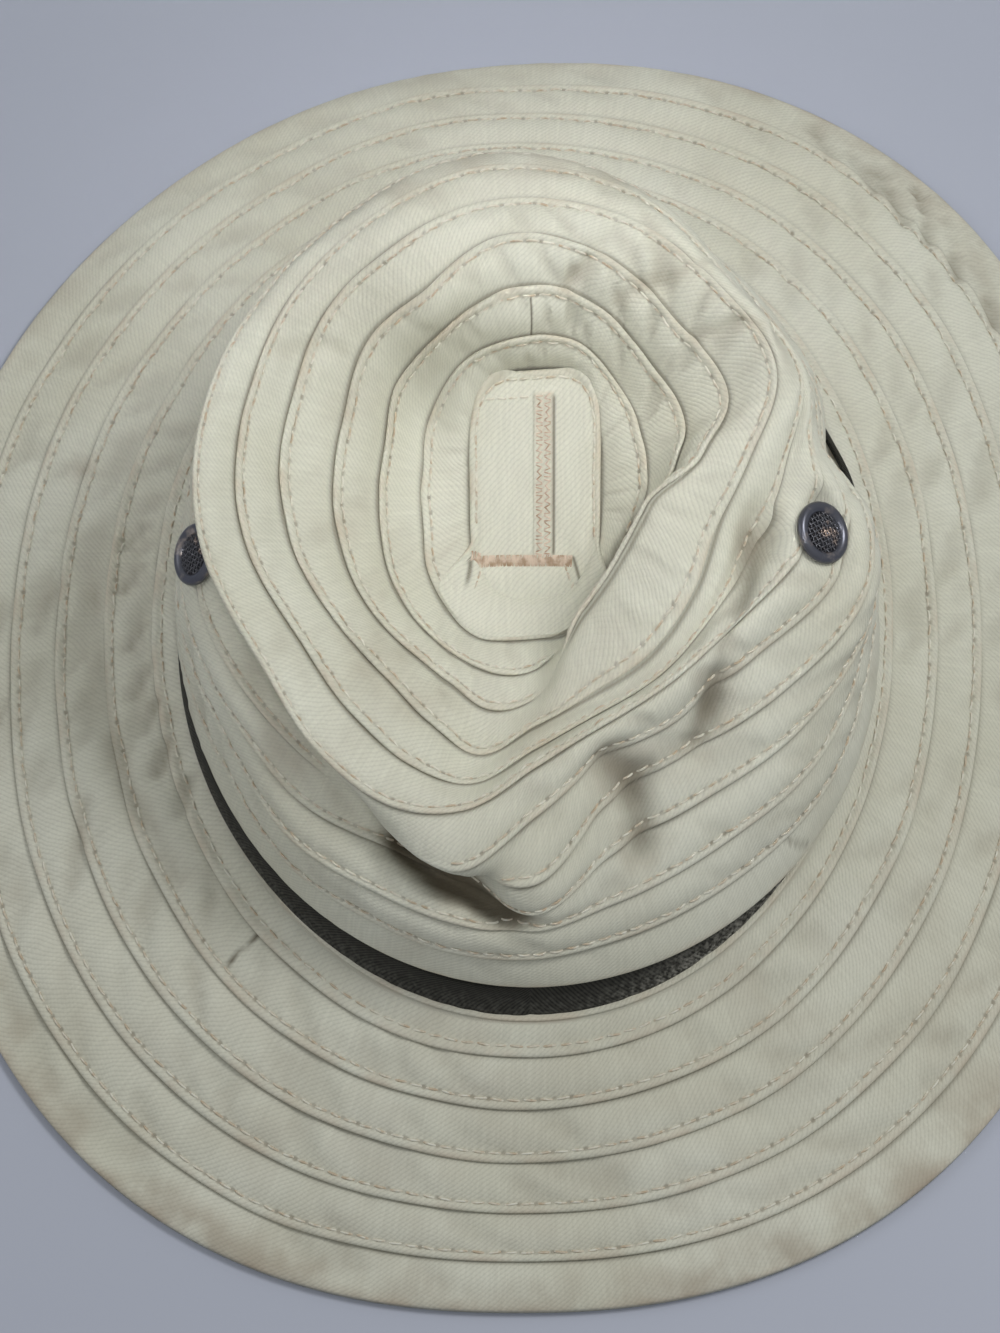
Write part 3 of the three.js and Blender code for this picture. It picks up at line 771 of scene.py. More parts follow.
def crown_top():
    """Top of the crown, from its folded edge on the crest down into the hollow round the patch."""
    wall = Wall(CROWN_SECTIONS)
    rows = sewn_rows(CREST_SEAM, CROWN_STRIPS)
    face = crown_face(rows, wall.turns)
    wall.add_sewn(rows, face)
    levels = [*np.arange(CROWN_STRIPS, CREST_SEAM + TOP_STEP / 2, -TOP_STEP), CREST_SEAM + TOP_END]
    for ring in crown_inside(levels, wall.turns):
        wall.add(ring)
    return wall.build("crown_top_strips"), sewn_stitches(rows, face)


# Patch in the hollow: sizes are in plan, in millimetres from its middle, X to the right and Y to the back

PATCH_MIDDLE = (HEAD_OFFSET + PATCH_PLACE["x"], PATCH_PLACE["y"])
PATCH_SECTIONS = 420
PATCH_CORNERS = 4.2
PATCH_CLEAR = 0.15  # between the patch's edge and the strip round it
PATCH_HOLE = 0.02  # reach of the patch's smallest ring
PATCH_BLEND = 1.5  # width over which the strip's normals take over from the patch's
PATCH_UNDER = {"height": 0.05, "every": 4, "edge": 0.6}  # rings of the patch's underside
PATCH_EDGE_ROWS = [
    (0.4, 0.10), (0.06, 0.22), (0.0, 0.42), (0.1, 0.68), (0.4, 0.88), (0.8, 0.95), (1.2, 0.84),
    (1.7, 0.55), (2.3, 0.68), (3.2, 0.78), (4.2, 0.8),
]
PATCH_RINGS = 72
LAP_TOP_ROW = 3  # first row of a strip that is on its upper face
# In front the patch runs out over the innermost strip, and its edge lies level with it
APRON = {"start": (-56, -46), "end": (38, 52), "seam": 11.03, "slope": 7.0, "sunk": 0.9}
TAPE = {"left": -0.1, "right": 4.1, "front": -13.7, "back": 18.3, "height": 0.5}
BAR = [(-16.2, -13.6), (8.6, -14.8)]
FLARES = [(-17.3, -22.0), (11.7, -22.2)]
PANEL = {"height": 0.5, "start": (-0.05, 0.02), "end": (0.55, 1.1)}
STEP = 0.3  # width of the slope at the edges of the tape and the panel
RELIEF_START = (0.5, 1.5)  # insets between which the tape and the panel rise
# Painted shadow lines beside the tape's right side and the flares: half-width, and where each starts and
# ends
TAPE_LINE = {"width": 0.35, "start": (-14, -13), "end": (17, 18.3)}
FLARE_LINE = {"width": 0.4, "start": (0, 0.05), "end": (0.6, 1.1)}
LINE_OFF = 0.3
LINE_DARK = 0.9
# Rows of stitches on the patch
PATCH_ROW = {"turns": (52, 296), "points": 160, "inset": 1.7, "pitch": 3.0, "sunk": 0.2}
INNER_ROW = {"x": (-11.7, -1.2), "y": 17.6, "points": 12}
FLARE_POINTS = 8
ZIGZAG = {"count": 44, "margin": 0.6, "side": 0.95, "slant": 0.6}
BAR_ROW = {"count": 58, "lean": 0.12}
VALLEY_FILL = {"height": 2.0, "spread": 6.5}


def seam_reach(seam, turns):
    """Reach of one of the crown's seams in plan, from the patch's middle."""
    points = crown_point(np.full_like(turns, seam), turns)
    return np.linalg.norm(points[:, :2] - PATCH_MIDDLE, axis=1)


def patch_base(x, y):
    """Points and normals under the patch: its own plane, then the innermost strip in front of it."""
    turns, reach = np.degrees(np.arctan2(x, -y)), np.hypot(x, y)
    edge = oval(turns, PATCH)
    plane = around(turns, reach, patch_height(turns, reach), *PATCH_MIDDLE)
    plane_normal = unit(np.array([-PATCH_PLACE["lean"], -PATCH_PLACE["rise"], 1.0]))
    width = seam_reach(CROWN_STRIPS - 1, turns) - edge
    levels = CROWN_STRIPS - np.clip((reach - edge) / width, 0, 1)
    strip = crown_point(levels, turns)
    strip_normals = face_normals(crown_point, np.minimum(levels, CROWN_STRIPS - SEAM_END), turns)
    outside = smooth_step(reach - edge, -PATCH_BLEND, PATCH_BLEND)[:, None]
    points = np.where((reach > edge)[:, None], strip, plane)
    normals = unit(plane_normal * (1 - outside) + strip_normals * outside)
    fill = VALLEY_FILL["height"] * bell(reach - edge, VALLEY_FILL["spread"])
    inset = (levels - CROWN_STRIPS + 1) * STRIP
    insets, heights = np.array(LAP_ROWS[LAP_TOP_ROW:]).T
    fill = fill + np.interp(inset, insets, heights) * (reach > edge)
    fill = fill * between(turns, APRON["start"], APRON["end"])
    return points + normals * fill[:, None], normals


def on_tape(x, y):
    """1 on the tape and 0 beside it."""
    inside = between(x, (TAPE["left"] - STEP, TAPE["left"]), (TAPE["right"], TAPE["right"] + STEP))
    return inside * between(y, (TAPE["front"] - STEP, TAPE["front"]), (TAPE["back"], TAPE["back"] + STEP))


def flare_sides(y):
    """How far along the flares each point lies, from 0 at the bar, and where the two flares are there."""
    share = (y - BAR[0][1]) / (FLARES[0][1] - BAR[0][1])
    return share, [bar[0] + (flare[0] - bar[0]) * share for bar, flare in zip(BAR, FLARES)]


def patch_relief(x, y):
    """Height of the tape and of the front panel above the patch."""
    share, (left, right) = flare_sides(y)
    panel = between(x, (left - STEP, left), (right, right + STEP))
    panel = panel * between(share, PANEL["start"], PANEL["end"])
    return TAPE["height"] * on_tape(x, y) + PANEL["height"] * panel


def relief_edges(x, y):
    """1 along the painted shadow lines beside the tape's right side and the outer sides of the flares."""
    line = bell(x - TAPE["right"] - LINE_OFF, TAPE_LINE["width"])
    line = line * between(y, TAPE_LINE["start"], TAPE_LINE["end"])
    share, flares = flare_sides(y)
    for outward, flare in zip((-1, 1), flares):
        own = bell(x - flare - outward * LINE_OFF, FLARE_LINE["width"])
        line = np.maximum(line, own * between(share, FLARE_LINE["start"], FLARE_LINE["end"]))
    return line


def patch_top(x, y):
    """Points and normals of the patch's upper face away from its edge."""
    points, normals = patch_base(x, y)
    height = PATCH_EDGE_ROWS[-1][1] + patch_relief(x, y)
    return points + normals * height[:, None], normals


def patch_outline(turns):
    """Reach of the patch's edge, and how far it is run out over the innermost strip, from 0 to 1."""
    edge = oval(turns, PATCH, PATCH_CORNERS) - PATCH_CLEAR
    apron = between(from_front(turns), APRON["start"], APRON["end"])
    return edge + (seam_reach(APRON["seam"], turns) - edge) * apron, apron


def patch():
    """Patch with folded edges; its front runs out level with the strip."""
    wall = Wall(PATCH_SECTIONS)
    angle = np.radians(wall.turns)
    outline, apron = patch_outline(wall.turns)
    start, flat_height = PATCH_EDGE_ROWS[-1]
    middle = outline.max()
    inner = [(inset, flat_height) for inset in np.linspace(start + 1, middle, PATCH_RINGS)]

    def ring(inset, height, upper=True):
        shrunk = (outline - start) * (1 - (inset - start) / (middle - start))
        reach = np.maximum(outline - inset if inset <= start else shrunk, PATCH_HOLE)
        x, y = reach * np.sin(angle), -reach * np.cos(angle)
        points, normals = patch_base(x, y)
        lift = height * (1 - APRON["sunk"] * apron * (1 - smooth_step(inset, 0.0, APRON["slope"])))
        if upper:
            lift = lift + patch_relief(x, y) * smooth_step(inset, *RELIEF_START)
        wear = np.maximum(bell(inset, Wall.WORN_WIDTH) * (1 - apron), on_tape(x, y))
        # Painted shade along the edges of the tape and the flares
        shade = LINE_DARK * relief_edges(x, y) if upper else 0.0
        wall.add(points + normals * lift[:, None], closed(x), closed(y), wear=wear, crevice=shade)

    for inset, height in [*PATCH_EDGE_ROWS, *inner]:
        ring(inset, height)
    for inset, _ in inner[:: -PATCH_UNDER["every"]]:
        ring(inset, PATCH_UNDER["height"], upper=False)
    ring(PATCH_UNDER["edge"], PATCH_UNDER["height"], upper=False)
    return wall.build("crown_patch_cloth")


def patch_rows():
    """Stitches near the patch's folded edges, along its short inner line and inside the flares."""
    turns = np.linspace(*PATCH_ROW["turns"], PATCH_ROW["points"])
    reach = patch_outline(turns)[0] - PATCH_ROW["inset"]
    angle = np.radians(turns)
    lines = [(reach * np.sin(angle), -reach * np.cos(angle))]
    inner = np.linspace(*INNER_ROW["x"], INNER_ROW["points"])
    lines.append((inner, np.full_like(inner, INNER_ROW["y"])))
    for bar, flare, inward in zip(BAR, FLARES, (1, -1)):
        x, y = np.linspace(bar, flare, FLARE_POINTS).T
        lines.append((x + inward * PATCH_ROW["inset"], y))
    found = []
    for x, y in lines:
        points, normals = patch_top(x, y)
        found.append(stitch_places(points - normals * PATCH_ROW["sunk"], normals, PATCH_ROW["pitch"]))
    return join_places(found)


def tape_rows():
    """Small zigzag stitches in two lines along the tape."""
    count, margin = ZIGZAG["count"], ZIGZAG["margin"]
    y = np.tile(np.linspace(TAPE["front"] + margin, TAPE["back"] - margin, count), 2)
    side = np.repeat([-ZIGZAG["side"], ZIGZAG["side"]], count)
    points, normals = patch_top((TAPE["left"] + TAPE["right"]) / 2 + side, y)
    runs = np.tile([[1.0, -ZIGZAG["slant"], 0.0], [1.0, ZIGZAG["slant"], 0.0]], (count, 1))
    return points, along_cloth(unit(runs), normals), normals


def bar_rows():
    """Close stitches of the bar tack across the front of the tape."""
    points, normals = patch_top(*np.linspace(*BAR, BAR_ROW["count"]).T)
    runs = np.tile([BAR_ROW["lean"], 1.0, 0.0], (BAR_ROW["count"], 1))
    return points, along_cloth(runs, normals), normals


# Brim

SWAY = {"height": 2.2, "length": 38.0, "layer": 2.0, "start": (0.4, 1.4), "end": (5.2, 5.9)}
# Grime on the brim along its edge and in soft patches, with painted shade at the front, in dents and in
# folds
BRIM_GRIME_AND_SHADE = {
    "edge": (4.9, 6.0), "edge_least": 0.35, "size": 28, "gain": 1.5, "layer": 5.0,
    "patches": 0.22, "front": 0.22, "dent": 0.15, "fold": 0.35,
}
EDGE_STAINS = [  # turn, half-width in turns and strength
    (332, 12, 0.9), (28, 20, 0.8), (140, 14, 0.7), (70, 14, 0.4), (300, 12, 0.5),
]
SPOT = {"seam": 3.0, "turn": 249, "seams": 3 / BRIM_STRIP, "turns": 2.0, "most": 0.9}
DEEPEST_FOLD = 2  # folds deeper than this get no more painted shade


def short_dent(seam, turn):
    """Depth, half-width and route of a short slanted dent."""
    seams, turns = SHORT_DENT["seams"], SHORT_DENT["turns"]
    route = [(seam - seams, turn - turns), (seam + seams, turn + turns)]
    return SHORT_DENT["depth"], SHORT_DENT["width"], route


LEFT_DENTS = [short_dent(*place) for place in SHORT_DENTS] + LONG_DENTS


def brim_stain(seams, turns, points):
    """Grime of the brim with painted shade at its front, apart from its dents and folds, from 0 to 1."""
    heavy = BRIM_GRIME_AND_SHADE["edge_least"] * np.ones_like(turns)
    for turn, width, most in EDGE_STAINS:
        heavy += most * bell(from_front(turns - turn), width)
    x, y = points[:, :2].T / BRIM_GRIME_AND_SHADE["size"]
    patches = np.clip(soft_noise(x, y, BRIM_GRIME_AND_SHADE["layer"]) * BRIM_GRIME_AND_SHADE["gain"], 0, 1)
    spot = bell(seams - SPOT["seam"], SPOT["seams"]) * bell(turns - SPOT["turn"], SPOT["turns"])
    grime_and_shade = heavy * smooth_step(seams, *BRIM_GRIME_AND_SHADE["edge"]) + BRIM_GRIME_AND_SHADE["patches"] * patches
    grime_and_shade += SPOT["most"] * spot + BRIM_GRIME_AND_SHADE["front"] * np.clip(np.cos(np.radians(turns)), 0, 1)
    return np.clip(grime_and_shade, 0, 1)


def swayed_brim(seams, turns):
    """Points of the brim with its slow rise and fall; the edge lies flat and the inner seam is held."""
    points = brim_point(seams, turns)
    sway = soft_noise(points[:, 0] / SWAY["length"], points[:, 1] / SWAY["length"], SWAY["layer"])
    points[:, 2] += SWAY["height"] * sway * between(seams, SWAY["start"], SWAY["end"])
    return points


def brim_face(rows, turns):
    """Points, normals, dirt with painted shade and dark lines with painted shade of the brim's top face;
    strips count from the edge inwards.
    """
    strip, inset, height, turn = spread(rows, turns)
    seams = BRIM_STRIPS - strip - (inset + edge_wobble(turn, strip, inset, BRIM_RELIEF)) / BRIM_STRIP
    seams = np.where(strip == BRIM_STRIPS, COLLAR_SEAM - inset / BRIM_STRIP, seams)
    seams = np.clip(seams, 0, BRIM_STRIPS)
    points = swayed_brim(seams, turn)

    def from_edge(levels, directions):
        return brim_point(np.clip(BRIM_STRIPS - levels, 0, BRIM_STRIPS), directions)

    normals = face_normals(from_edge, np.minimum(BRIM_STRIPS - seams, BRIM_STRIPS - SEAM_END), turn)
    rightness = np.sin(np.radians(turn))
    deep = BRIM_PUCKERS["all"] + BRIM_PUCKERS["sides"] * rightness**2
    deep += BRIM_PUCKERS["left"] * np.clip(-rightness, 0, 1)
    loose = smooth_step(BRIM_STRIPS - seams, *BRIM_PUCKERS["edge"])
    loose = loose * smooth_step(seams, *BRIM_PUCKERS["foot"])
    dents = puckers(turn, strip, inset, BRIM_RELIEF) * deep * loose
    folds = crease_depth(seams, turn, BRIM_FOLDS, EDGE_REACH)
    folds += crease_depth(seams, turn, LEFT_DENTS, LEFT_REACH)
    joints = joint_lines(JOINTS["brim"], strip, inset, turn, JOINT_REACH)
    relief = height - dents + stitch_dimples(turn, strip, inset, BRIM_RELIEF)
    relief = np.maximum(relief - folds - BRIM_RELIEF["joint"] * joints, BRIM_LOWEST)
    # Painted shade in the brim's dents and folds, in its dark lines and in its grime
    valleys = np.clip(folds, 0, DEEPEST_FOLD)
    lines = np.maximum.reduce([joints, DENT_SHADE["brim"] * dents, DENT_SHADE["fold"] * valleys])
    stain = brim_stain(seams, turn, points) + BRIM_GRIME_AND_SHADE["dent"] * dents + BRIM_GRIME_AND_SHADE["fold"] * valleys
    shape = len(rows), len(turns)
    return {
        "points": (points + normals * relief[:, None]).reshape(*shape, 3),
        "normals": normals.reshape(*shape, 3),
        "stain": stain.reshape(shape),
        "lines": lines.reshape(shape),
        "shown": np.ones(shape),
        "next_shown": np.ones(shape),
    }


def brim():
    """Brim from its rolled edge on the table up to the seam under the crown's foot, and its underside."""
    wall = Wall(BRIM_SECTIONS)
    turns = wall.turns
    sewn = sewn_rows(0, BRIM_STRIPS, rolled=0)
    sewn = sewn[(sewn[:, 0] < BRIM_STRIPS - 1) | (sewn[:, 1] < COLLAR_COVER)]
    collar = np.array([(BRIM_STRIPS, inset, height) for inset, height in COLLAR_ROWS])
    rows = np.concatenate([sewn, collar])
    face = brim_face(rows, turns)
    wall.add_sewn(rows, face)
    for seam in np.arange(0, BRIM_STRIPS, UNDER_STEP):
        ring = swayed_brim(np.full_like(turns, seam), turns)
        wall.add(ring - [0, 0, BRIM_THICKNESS if seam else CLOTH])
    for seam in (BRIM_STRIPS - BRIM_FLAT / BRIM_STRIP, BRIM_STRIPS):
        ring = brim_point(np.full_like(turns, seam), turns)
        wall.add(ring * [1, 1, 0])
    return wall.build("brim_strips"), sewn_stitches(rows, face)


# Band

def band():
    """Woven ribbon round the foot, a little slack."""
    wall = Wall(CROWN_SECTIONS)
    turns = wall.turns
    tall = BAND["top"] - BAND["bottom"]

    def ring(height, grow):
        share = (height - FOOT_BOTTOM["height"]) / (FOOT_TOP["height"] - FOOT_BOTTOM["height"])
        low, high = oval(turns, FOOT_BOTTOM), oval(turns, FOOT_TOP)
        slack = sum(most * bell(turns - turn, width) for turn, width, most in BAND_SLACK)
        return around(turns, low + (high - low) * share + grow + slack, height, HEAD_OFFSET)

    heights = np.linspace(BAND["bottom"], BAND["top"], BAND["rings"])
    for height in heights:
        share = (height - BAND["bottom"]) / tall
        waves = BAND["wave"] * share * ring_noise(turns, BAND["waves"], share)
        bulge = BAND["bulge"] * math.sin(math.pi * share) + waves
        # Lint that also carries a painted highlight on the front right, fading up the band
        lint_and_highlight = between(turns, BAND_LINT_AND_HIGHLIGHT["start"], BAND_LINT_AND_HIGHLIGHT["end"]) + BAND_LINT_AND_HIGHLIGHT["all_round"]
        wall.add(ring(height, GAP + BAND["thickness"] + bulge), across=height, stain=lint_and_highlight * (1 - share))
    for height in heights[::-1]:
        wall.add(ring(height, GAP), across=height)
    return wall.build("hat_band_ribbon")


# Vents

VENT_RIM = [
    # reach and height of the rim's section, from the cloth outwards and over into the middle
    (4.4, 0.0), (7.0, 0.0), (7.2, 0.35), (7.2, 0.8), (7.0, 1.25), (6.6, 1.6), (6.0, 1.75), (5.4, 1.6),
    (4.95, 1.3), (4.7, 0.95), (4.5, 0.6),
]
VENT_PLATE = [(2.5, 0.55), (0.05, 0.55), (0.05, 0.0)]
VENT_WIRES = {
    "pitch": 0.95, "radius": 0.24, "reach": 4.75, "height": 0.75, "dome": 0.6, "weave": 0.2,
    "points_per_mm": 4, "fewest_points": 4,
}
VENT_SECTIONS = 48


def vent_frame(name):
    """Middle, two directions along the cloth and the outward normal of a vent."""
    centre, normal = SEATS[name]
    side = unit(np.cross([0.0, 0.0, 1.0], normal))
    return centre + normal * VENT_SEAT["lift"], side, np.cross(normal, side), normal


def vent_rim(name):
    """Pressed rim of a vent with a plate that closes it below the mesh."""
    centre, side, up, normal = vent_frame(name)
    wall = Wall(VENT_SECTIONS)
    angle = np.radians(wall.turns)
    outward = np.cos(angle)[:, None] * side + np.sin(angle)[:, None] * up
    for reach, height in VENT_RIM + VENT_PLATE:
        wall.add(centre + outward * reach + normal * height)
    return wall.build(name + "_rim")


def vent_wires(name):
    """Lines of the wires of a vent's woven mesh."""
    centre, side, up, normal = vent_frame(name)
    size = VENT_WIRES
    most = int(size["reach"] / size["pitch"])
    lines = []
    for first, second in ((side + up, up - side), (up - side, side + up)):
        for number in range(-most, most + 1):
            off = number * size["pitch"]
            half = math.sqrt(size["reach"] ** 2 - off**2)
            along = np.linspace(-half, half, max(int(half * size["points_per_mm"]), size["fewest_points"]))
            over = 1 if (number % 2 == 1) == (len(lines) <= 2 * most) else -1
            waves = size["weave"] * over * np.cos(np.pi * along / size["pitch"])
            dome = size["dome"] * (1 - (along**2 + off**2) / size["reach"] ** 2)
            height = size["height"] + dome + waves
            place = off * unit(first) + along[:, None] * unit(second)
            lines.append(centre + place + height[:, None] * normal)
    return lines


# Materials

def add(tree, kind, inputs=None, **settings):
    """New node with its settings, and its inputs set or linked by name or place."""
    made = tree.nodes.new(kind)
    for label, value in settings.items():
        setattr(made, label, value)
    for label, value in (inputs or {}).items():
        socket = made.inputs[label]
        if isinstance(value, bpy.types.NodeSocket):
            tree.links.new(value, socket)
        else:
            socket.default_value = value
    return made


def calc(tree, operation, first, second=None):
    """Result of a sum on one or two values."""
    inputs = {0: first} if second is None else {0: first, 1: second}
    return add(tree, "ShaderNodeMath", inputs, operation=operation).outputs[0]


def mix_colour(tree, share, first, second, blend="MIX"):
    """Colour between two colours, which are the node's sockets 6 and 7."""
    made = add(tree, "ShaderNodeMix", {0: share, 6: first, 7: second}, data_type="RGBA", blend_type=blend)
    return made.outputs[2]


def attribute(tree, label):
    """One of the measures that a wall carries."""
    return add(tree, "ShaderNodeAttribute", attribute_name=label).outputs["Fac"]


def noise_value(tree, vector, scale, detail=2.0):
    """Noise with so many lumps in a unit of the vector."""
    made = add(tree, "ShaderNodeTexNoise", {"Vector": vector, "Scale": scale, "Detail": detail})
    return made.outputs["Fac"]


def ramp(tree, value, low, high, to_low=0.0, to_high=1.0):
    """Smooth step from one value to another."""
    inputs = {"Value": value, "From Min": low, "From Max": high, "To Min": to_low, "To Max": to_high}
    made = add(tree, "ShaderNodeMapRange", inputs, interpolation_type="SMOOTHSTEP")
    return made.outputs["Result"]


def spots(tree, vector, scale, detail, *limits):
    """Soft spots: noise with so many lumps in a unit of the vector, brought to a ramp's limits."""
    return ramp(tree, noise_value(tree, vector, scale, detail), *limits)


def new_material(name, roughness, **shader_values):
    """Material with its shader; values that are the same all over are set on the shader's own sockets."""
    material = bpy.data.materials.new(name)
    material.use_nodes = True
    shader = material.node_tree.nodes["Principled BSDF"]
    shader.inputs["Roughness"].default_value = roughness
    for label, value in shader_values.items():
        shader.inputs[label.replace("_", " ")].default_value = value
    return material, material.node_tree, shader


CREAM = (0.66, 0.655, 0.55, 1)
CREAM_SHADE = (0.60, 0.59, 0.48, 1)
TAN = (0.54, 0.41, 0.29, 1)
# Colour of dirt, also used for painted shade in creases, dents and folds and on the crown's back and the
# brim's front
GRIME_AND_SHADE = (0.30, 0.235, 0.165, 1)
HOLE_SHADE = (0.16, 0.12, 0.075, 1)
# Colour of the joints' own dark line and of painted shade under folds, in creases, in dents and along edges
JOINT_AND_SHADE_DARK = (0.11, 0.088, 0.055, 1)
WEAVE = 0.95 * MM  # from thread to thread
THREADS = (math.radians(-48), math.radians(70))  # directions across the threads, from the strip's run
THREAD_WANDER = {"scale": 130.0, "most": 7.0}
# Shares of the first threads, the second threads and their crossings in the weave's height
WEAVE_SHARES = (0.65, 0.15, 0.2)
WEAVE_TONE = (0.05, 0.75, 0.92, 1.03)  # low and high weave, and how bright the cloth is there: painted shade in the weave's low parts
SLUB_SCALE = (1400, 120, 1)
FUZZ_SCALE = 2200.0
# Soft spots: lumps in a metre, detail, noise at both ends of the ramp, and values there if not 0 and 1
TONE_SPOTS = (24.0, 4.0, 0.35, 0.7)
SLUB_SPOTS = (1.0, 3.0, 0.3, 0.75, 0.95, 1.03)
WEAR_SPOTS = (90.0, 2.0, 0.35, 0.75)
GRIME_AND_SHADE_SPOTS = (80.0, 5.0, 0.3, 0.7)
HOLE_SPOTS = (160.0, 2.0, 0.35, 0.65, 0.2, 1.0)
THREAD_SPOTS = (500.0, 2.0, 0.35, 0.7)
LINT_AND_HIGHLIGHT_SPOTS = (900.0, 4.0, 0.35, 0.75)
METAL_SPOTS = (300.0, 4.0, 0.5, 0.75)
WIRE_SPOTS = (240.0, 2.0, 0.58, 0.74)
# How strongly worn folds, dark joints with the painted shade of crevices, and the needle holes' painted
# shade change the colour
WORN_SHARE, JOINT_AND_SHADE_SHARE, HOLE_SHADE_SHARE = 0.42, 0.88, 0.55
CANVAS_BUMP = {"Strength": 0.38, "Distance": 0.22 * MM}
FUZZ_HEIGHT, HOLE_DEPTH = 0.5, 1.5
NEEDLE_HOLE = {"outer": 0.75, "inner": 0.2, "squash": 0.65}


def weave_height(tree, cloth, place):
    """Height of a plain weave cut on the slant, about 0 to 1."""
    wander = noise_value(tree, place, THREAD_WANDER["scale"])
    wander = calc(tree, "MULTIPLY", wander, THREAD_WANDER["most"])
    parts = add(tree, "ShaderNodeSeparateXYZ", {0: cloth})
    ribs = []
    for direction in THREADS:
        along = calc(tree, "MULTIPLY", parts.outputs[0], math.cos(direction) * math.pi / WEAVE)
        across = calc(tree, "MULTIPLY", parts.outputs[1], math.sin(direction) * math.pi / WEAVE)
        phase = calc(tree, "ADD", calc(tree, "ADD", along, across), wander)
        ribs.append(calc(tree, "ABSOLUTE", calc(tree, "SINE", phase)))
    ribs.append(calc(tree, "MULTIPLY", *ribs))
    first, second, crossing = (calc(tree, "MULTIPLY", rib, share) for rib, share in zip(ribs, WEAVE_SHARES))
    return calc(tree, "ADD", calc(tree, "ADD", first, second), crossing)


def needle_holes(tree, cloth):
    """Small holes between the stitches, on the strips that have a row; their dark colour is painted shade.
    """
    parts = add(tree, "ShaderNodeSeparateXYZ", {0: cloth})
    count = calc(tree, "DIVIDE", parts.outputs[0], STITCH_PITCH * MM)
    off = calc(tree, "SUBTRACT", calc(tree, "FRACT", calc(tree, "ADD", count, 0.5)), 0.5)
    along = calc(tree, "MULTIPLY", off, STITCH_PITCH)
    strips = calc(tree, "DIVIDE", parts.outputs[1], Wall.STRIP_STEP * MM)
    inset = calc(tree, "MULTIPLY", calc(tree, "FRACT", strips), Wall.STRIP_STEP)
    across = calc(tree, "SUBTRACT", inset, STITCH_INSET)
    squashed = calc(tree, "MULTIPLY", along, NEEDLE_HOLE["squash"])
    squares = [calc(tree, "POWER", value, 2.0) for value in (squashed, across)]
    distance = calc(tree, "SQRT", calc(tree, "ADD", *squares))
    drawn = spots(tree, cloth, *HOLE_SPOTS)
    spot = calc(tree, "MULTIPLY", ramp(tree, distance, NEEDLE_HOLE["outer"], NEEDLE_HOLE["inner"]), drawn)
    return calc(tree, "MULTIPLY", spot, attribute(tree, "sewn"))


def cotton(name, grime_and_shade_share):
    """Washed cotton canvas with a plain weave darkened in its low parts as painted shade, worn folds, dirt
    and painted shade as strong as the given share, and needle holes darkened as painted shade.
    """
    material, tree, shader = new_material(name, roughness=0.95, Specular_IOR_Level=0.15)
    place = add(tree, "ShaderNodeTexCoord").outputs["Object"]
    cloth = add(tree, "ShaderNodeUVMap", uv_map="cloth").outputs["UV"]
    weave = weave_height(tree, cloth, place)
    holes = needle_holes(tree, cloth)

    colour = mix_colour(tree, spots(tree, place, *TONE_SPOTS), CREAM, CREAM_SHADE)
    drawn = {"Vector": cloth, "Rotation": (0, 0, THREADS[0]), "Scale": SLUB_SCALE}
    slubs = add(tree, "ShaderNodeMapping", drawn).outputs[0]
    # Slubs vary the tone at random; the weave's low parts get painted shade
    for tone in (spots(tree, slubs, *SLUB_SPOTS), ramp(tree, weave, *WEAVE_TONE)):
        colour = mix_colour(tree, 1.0, colour, tone, "MULTIPLY")
    worn = calc(tree, "MULTIPLY", attribute(tree, "wear"), spots(tree, place, *WEAR_SPOTS))
    dirt_and_shade = calc(tree, "MULTIPLY", attribute(tree, "stain"), spots(tree, place, *GRIME_AND_SHADE_SPOTS))
    layers = [
        (worn, WORN_SHARE, TAN),
        (dirt_and_shade, grime_and_shade_share, GRIME_AND_SHADE),
        (attribute(tree, "crevice"), JOINT_AND_SHADE_SHARE, JOINT_AND_SHADE_DARK),
        (holes, HOLE_SHADE_SHARE, HOLE_SHADE),
    ]
    for amount, share, layer_colour in layers:
        colour = mix_colour(tree, calc(tree, "MULTIPLY", amount, share), colour, layer_colour)
    tree.links.new(colour, shader.inputs["Base Color"])

    fuzz = calc(tree, "MULTIPLY", noise_value(tree, place, FUZZ_SCALE), FUZZ_HEIGHT)
    holed = calc(tree, "MULTIPLY", holes, HOLE_DEPTH)
    height = calc(tree, "SUBTRACT", calc(tree, "ADD", weave, fuzz), holed)
    bump = add(tree, "ShaderNodeBump", CANVAS_BUMP | {"Height": height})
    tree.links.new(bump.outputs["Normal"], shader.inputs["Normal"])
    return material


def two_tone(name, colours, pattern, roughness, **shader_values):
    """Material of one colour with soft spots of another."""
    material, tree, shader = new_material(name, roughness, **shader_values)
    place = add(tree, "ShaderNodeTexCoord").outputs["Object"]
    colour = mix_colour(tree, spots(tree, place, *pattern), *colours)
    tree.links.new(colour, shader.inputs["Base Color"])
    return material


def thread_material(name, *colours):
    """Cotton thread, darker in places."""
    return two_tone(name, colours, THREAD_SPOTS, roughness=0.9, Specular_IOR_Level=0.15)


# The ribbon is darker in the grooves of its rib than on the ribs: painted shade
RIBBON_COLOURS = ((0.006, 0.006, 0.005, 1), (0.04, 0.038, 0.03, 1))
RIBBON_RIB = 1.1 * MM
RIBBON_BUMP = {"Strength": 0.7, "Distance": 0.2 * MM}
LINT_AND_HIGHLIGHT = (0.30, 0.29, 0.25, 1)
# Dark plated metal rubbed paler in places, and dark wire rubbed down to brass
METAL_COLOURS = ((0.12, 0.123, 0.145, 1), (0.45, 0.38, 0.33, 1))
WIRE_COLOURS = ((0.09, 0.09, 0.1, 1), (0.42, 0.32, 0.26, 1))


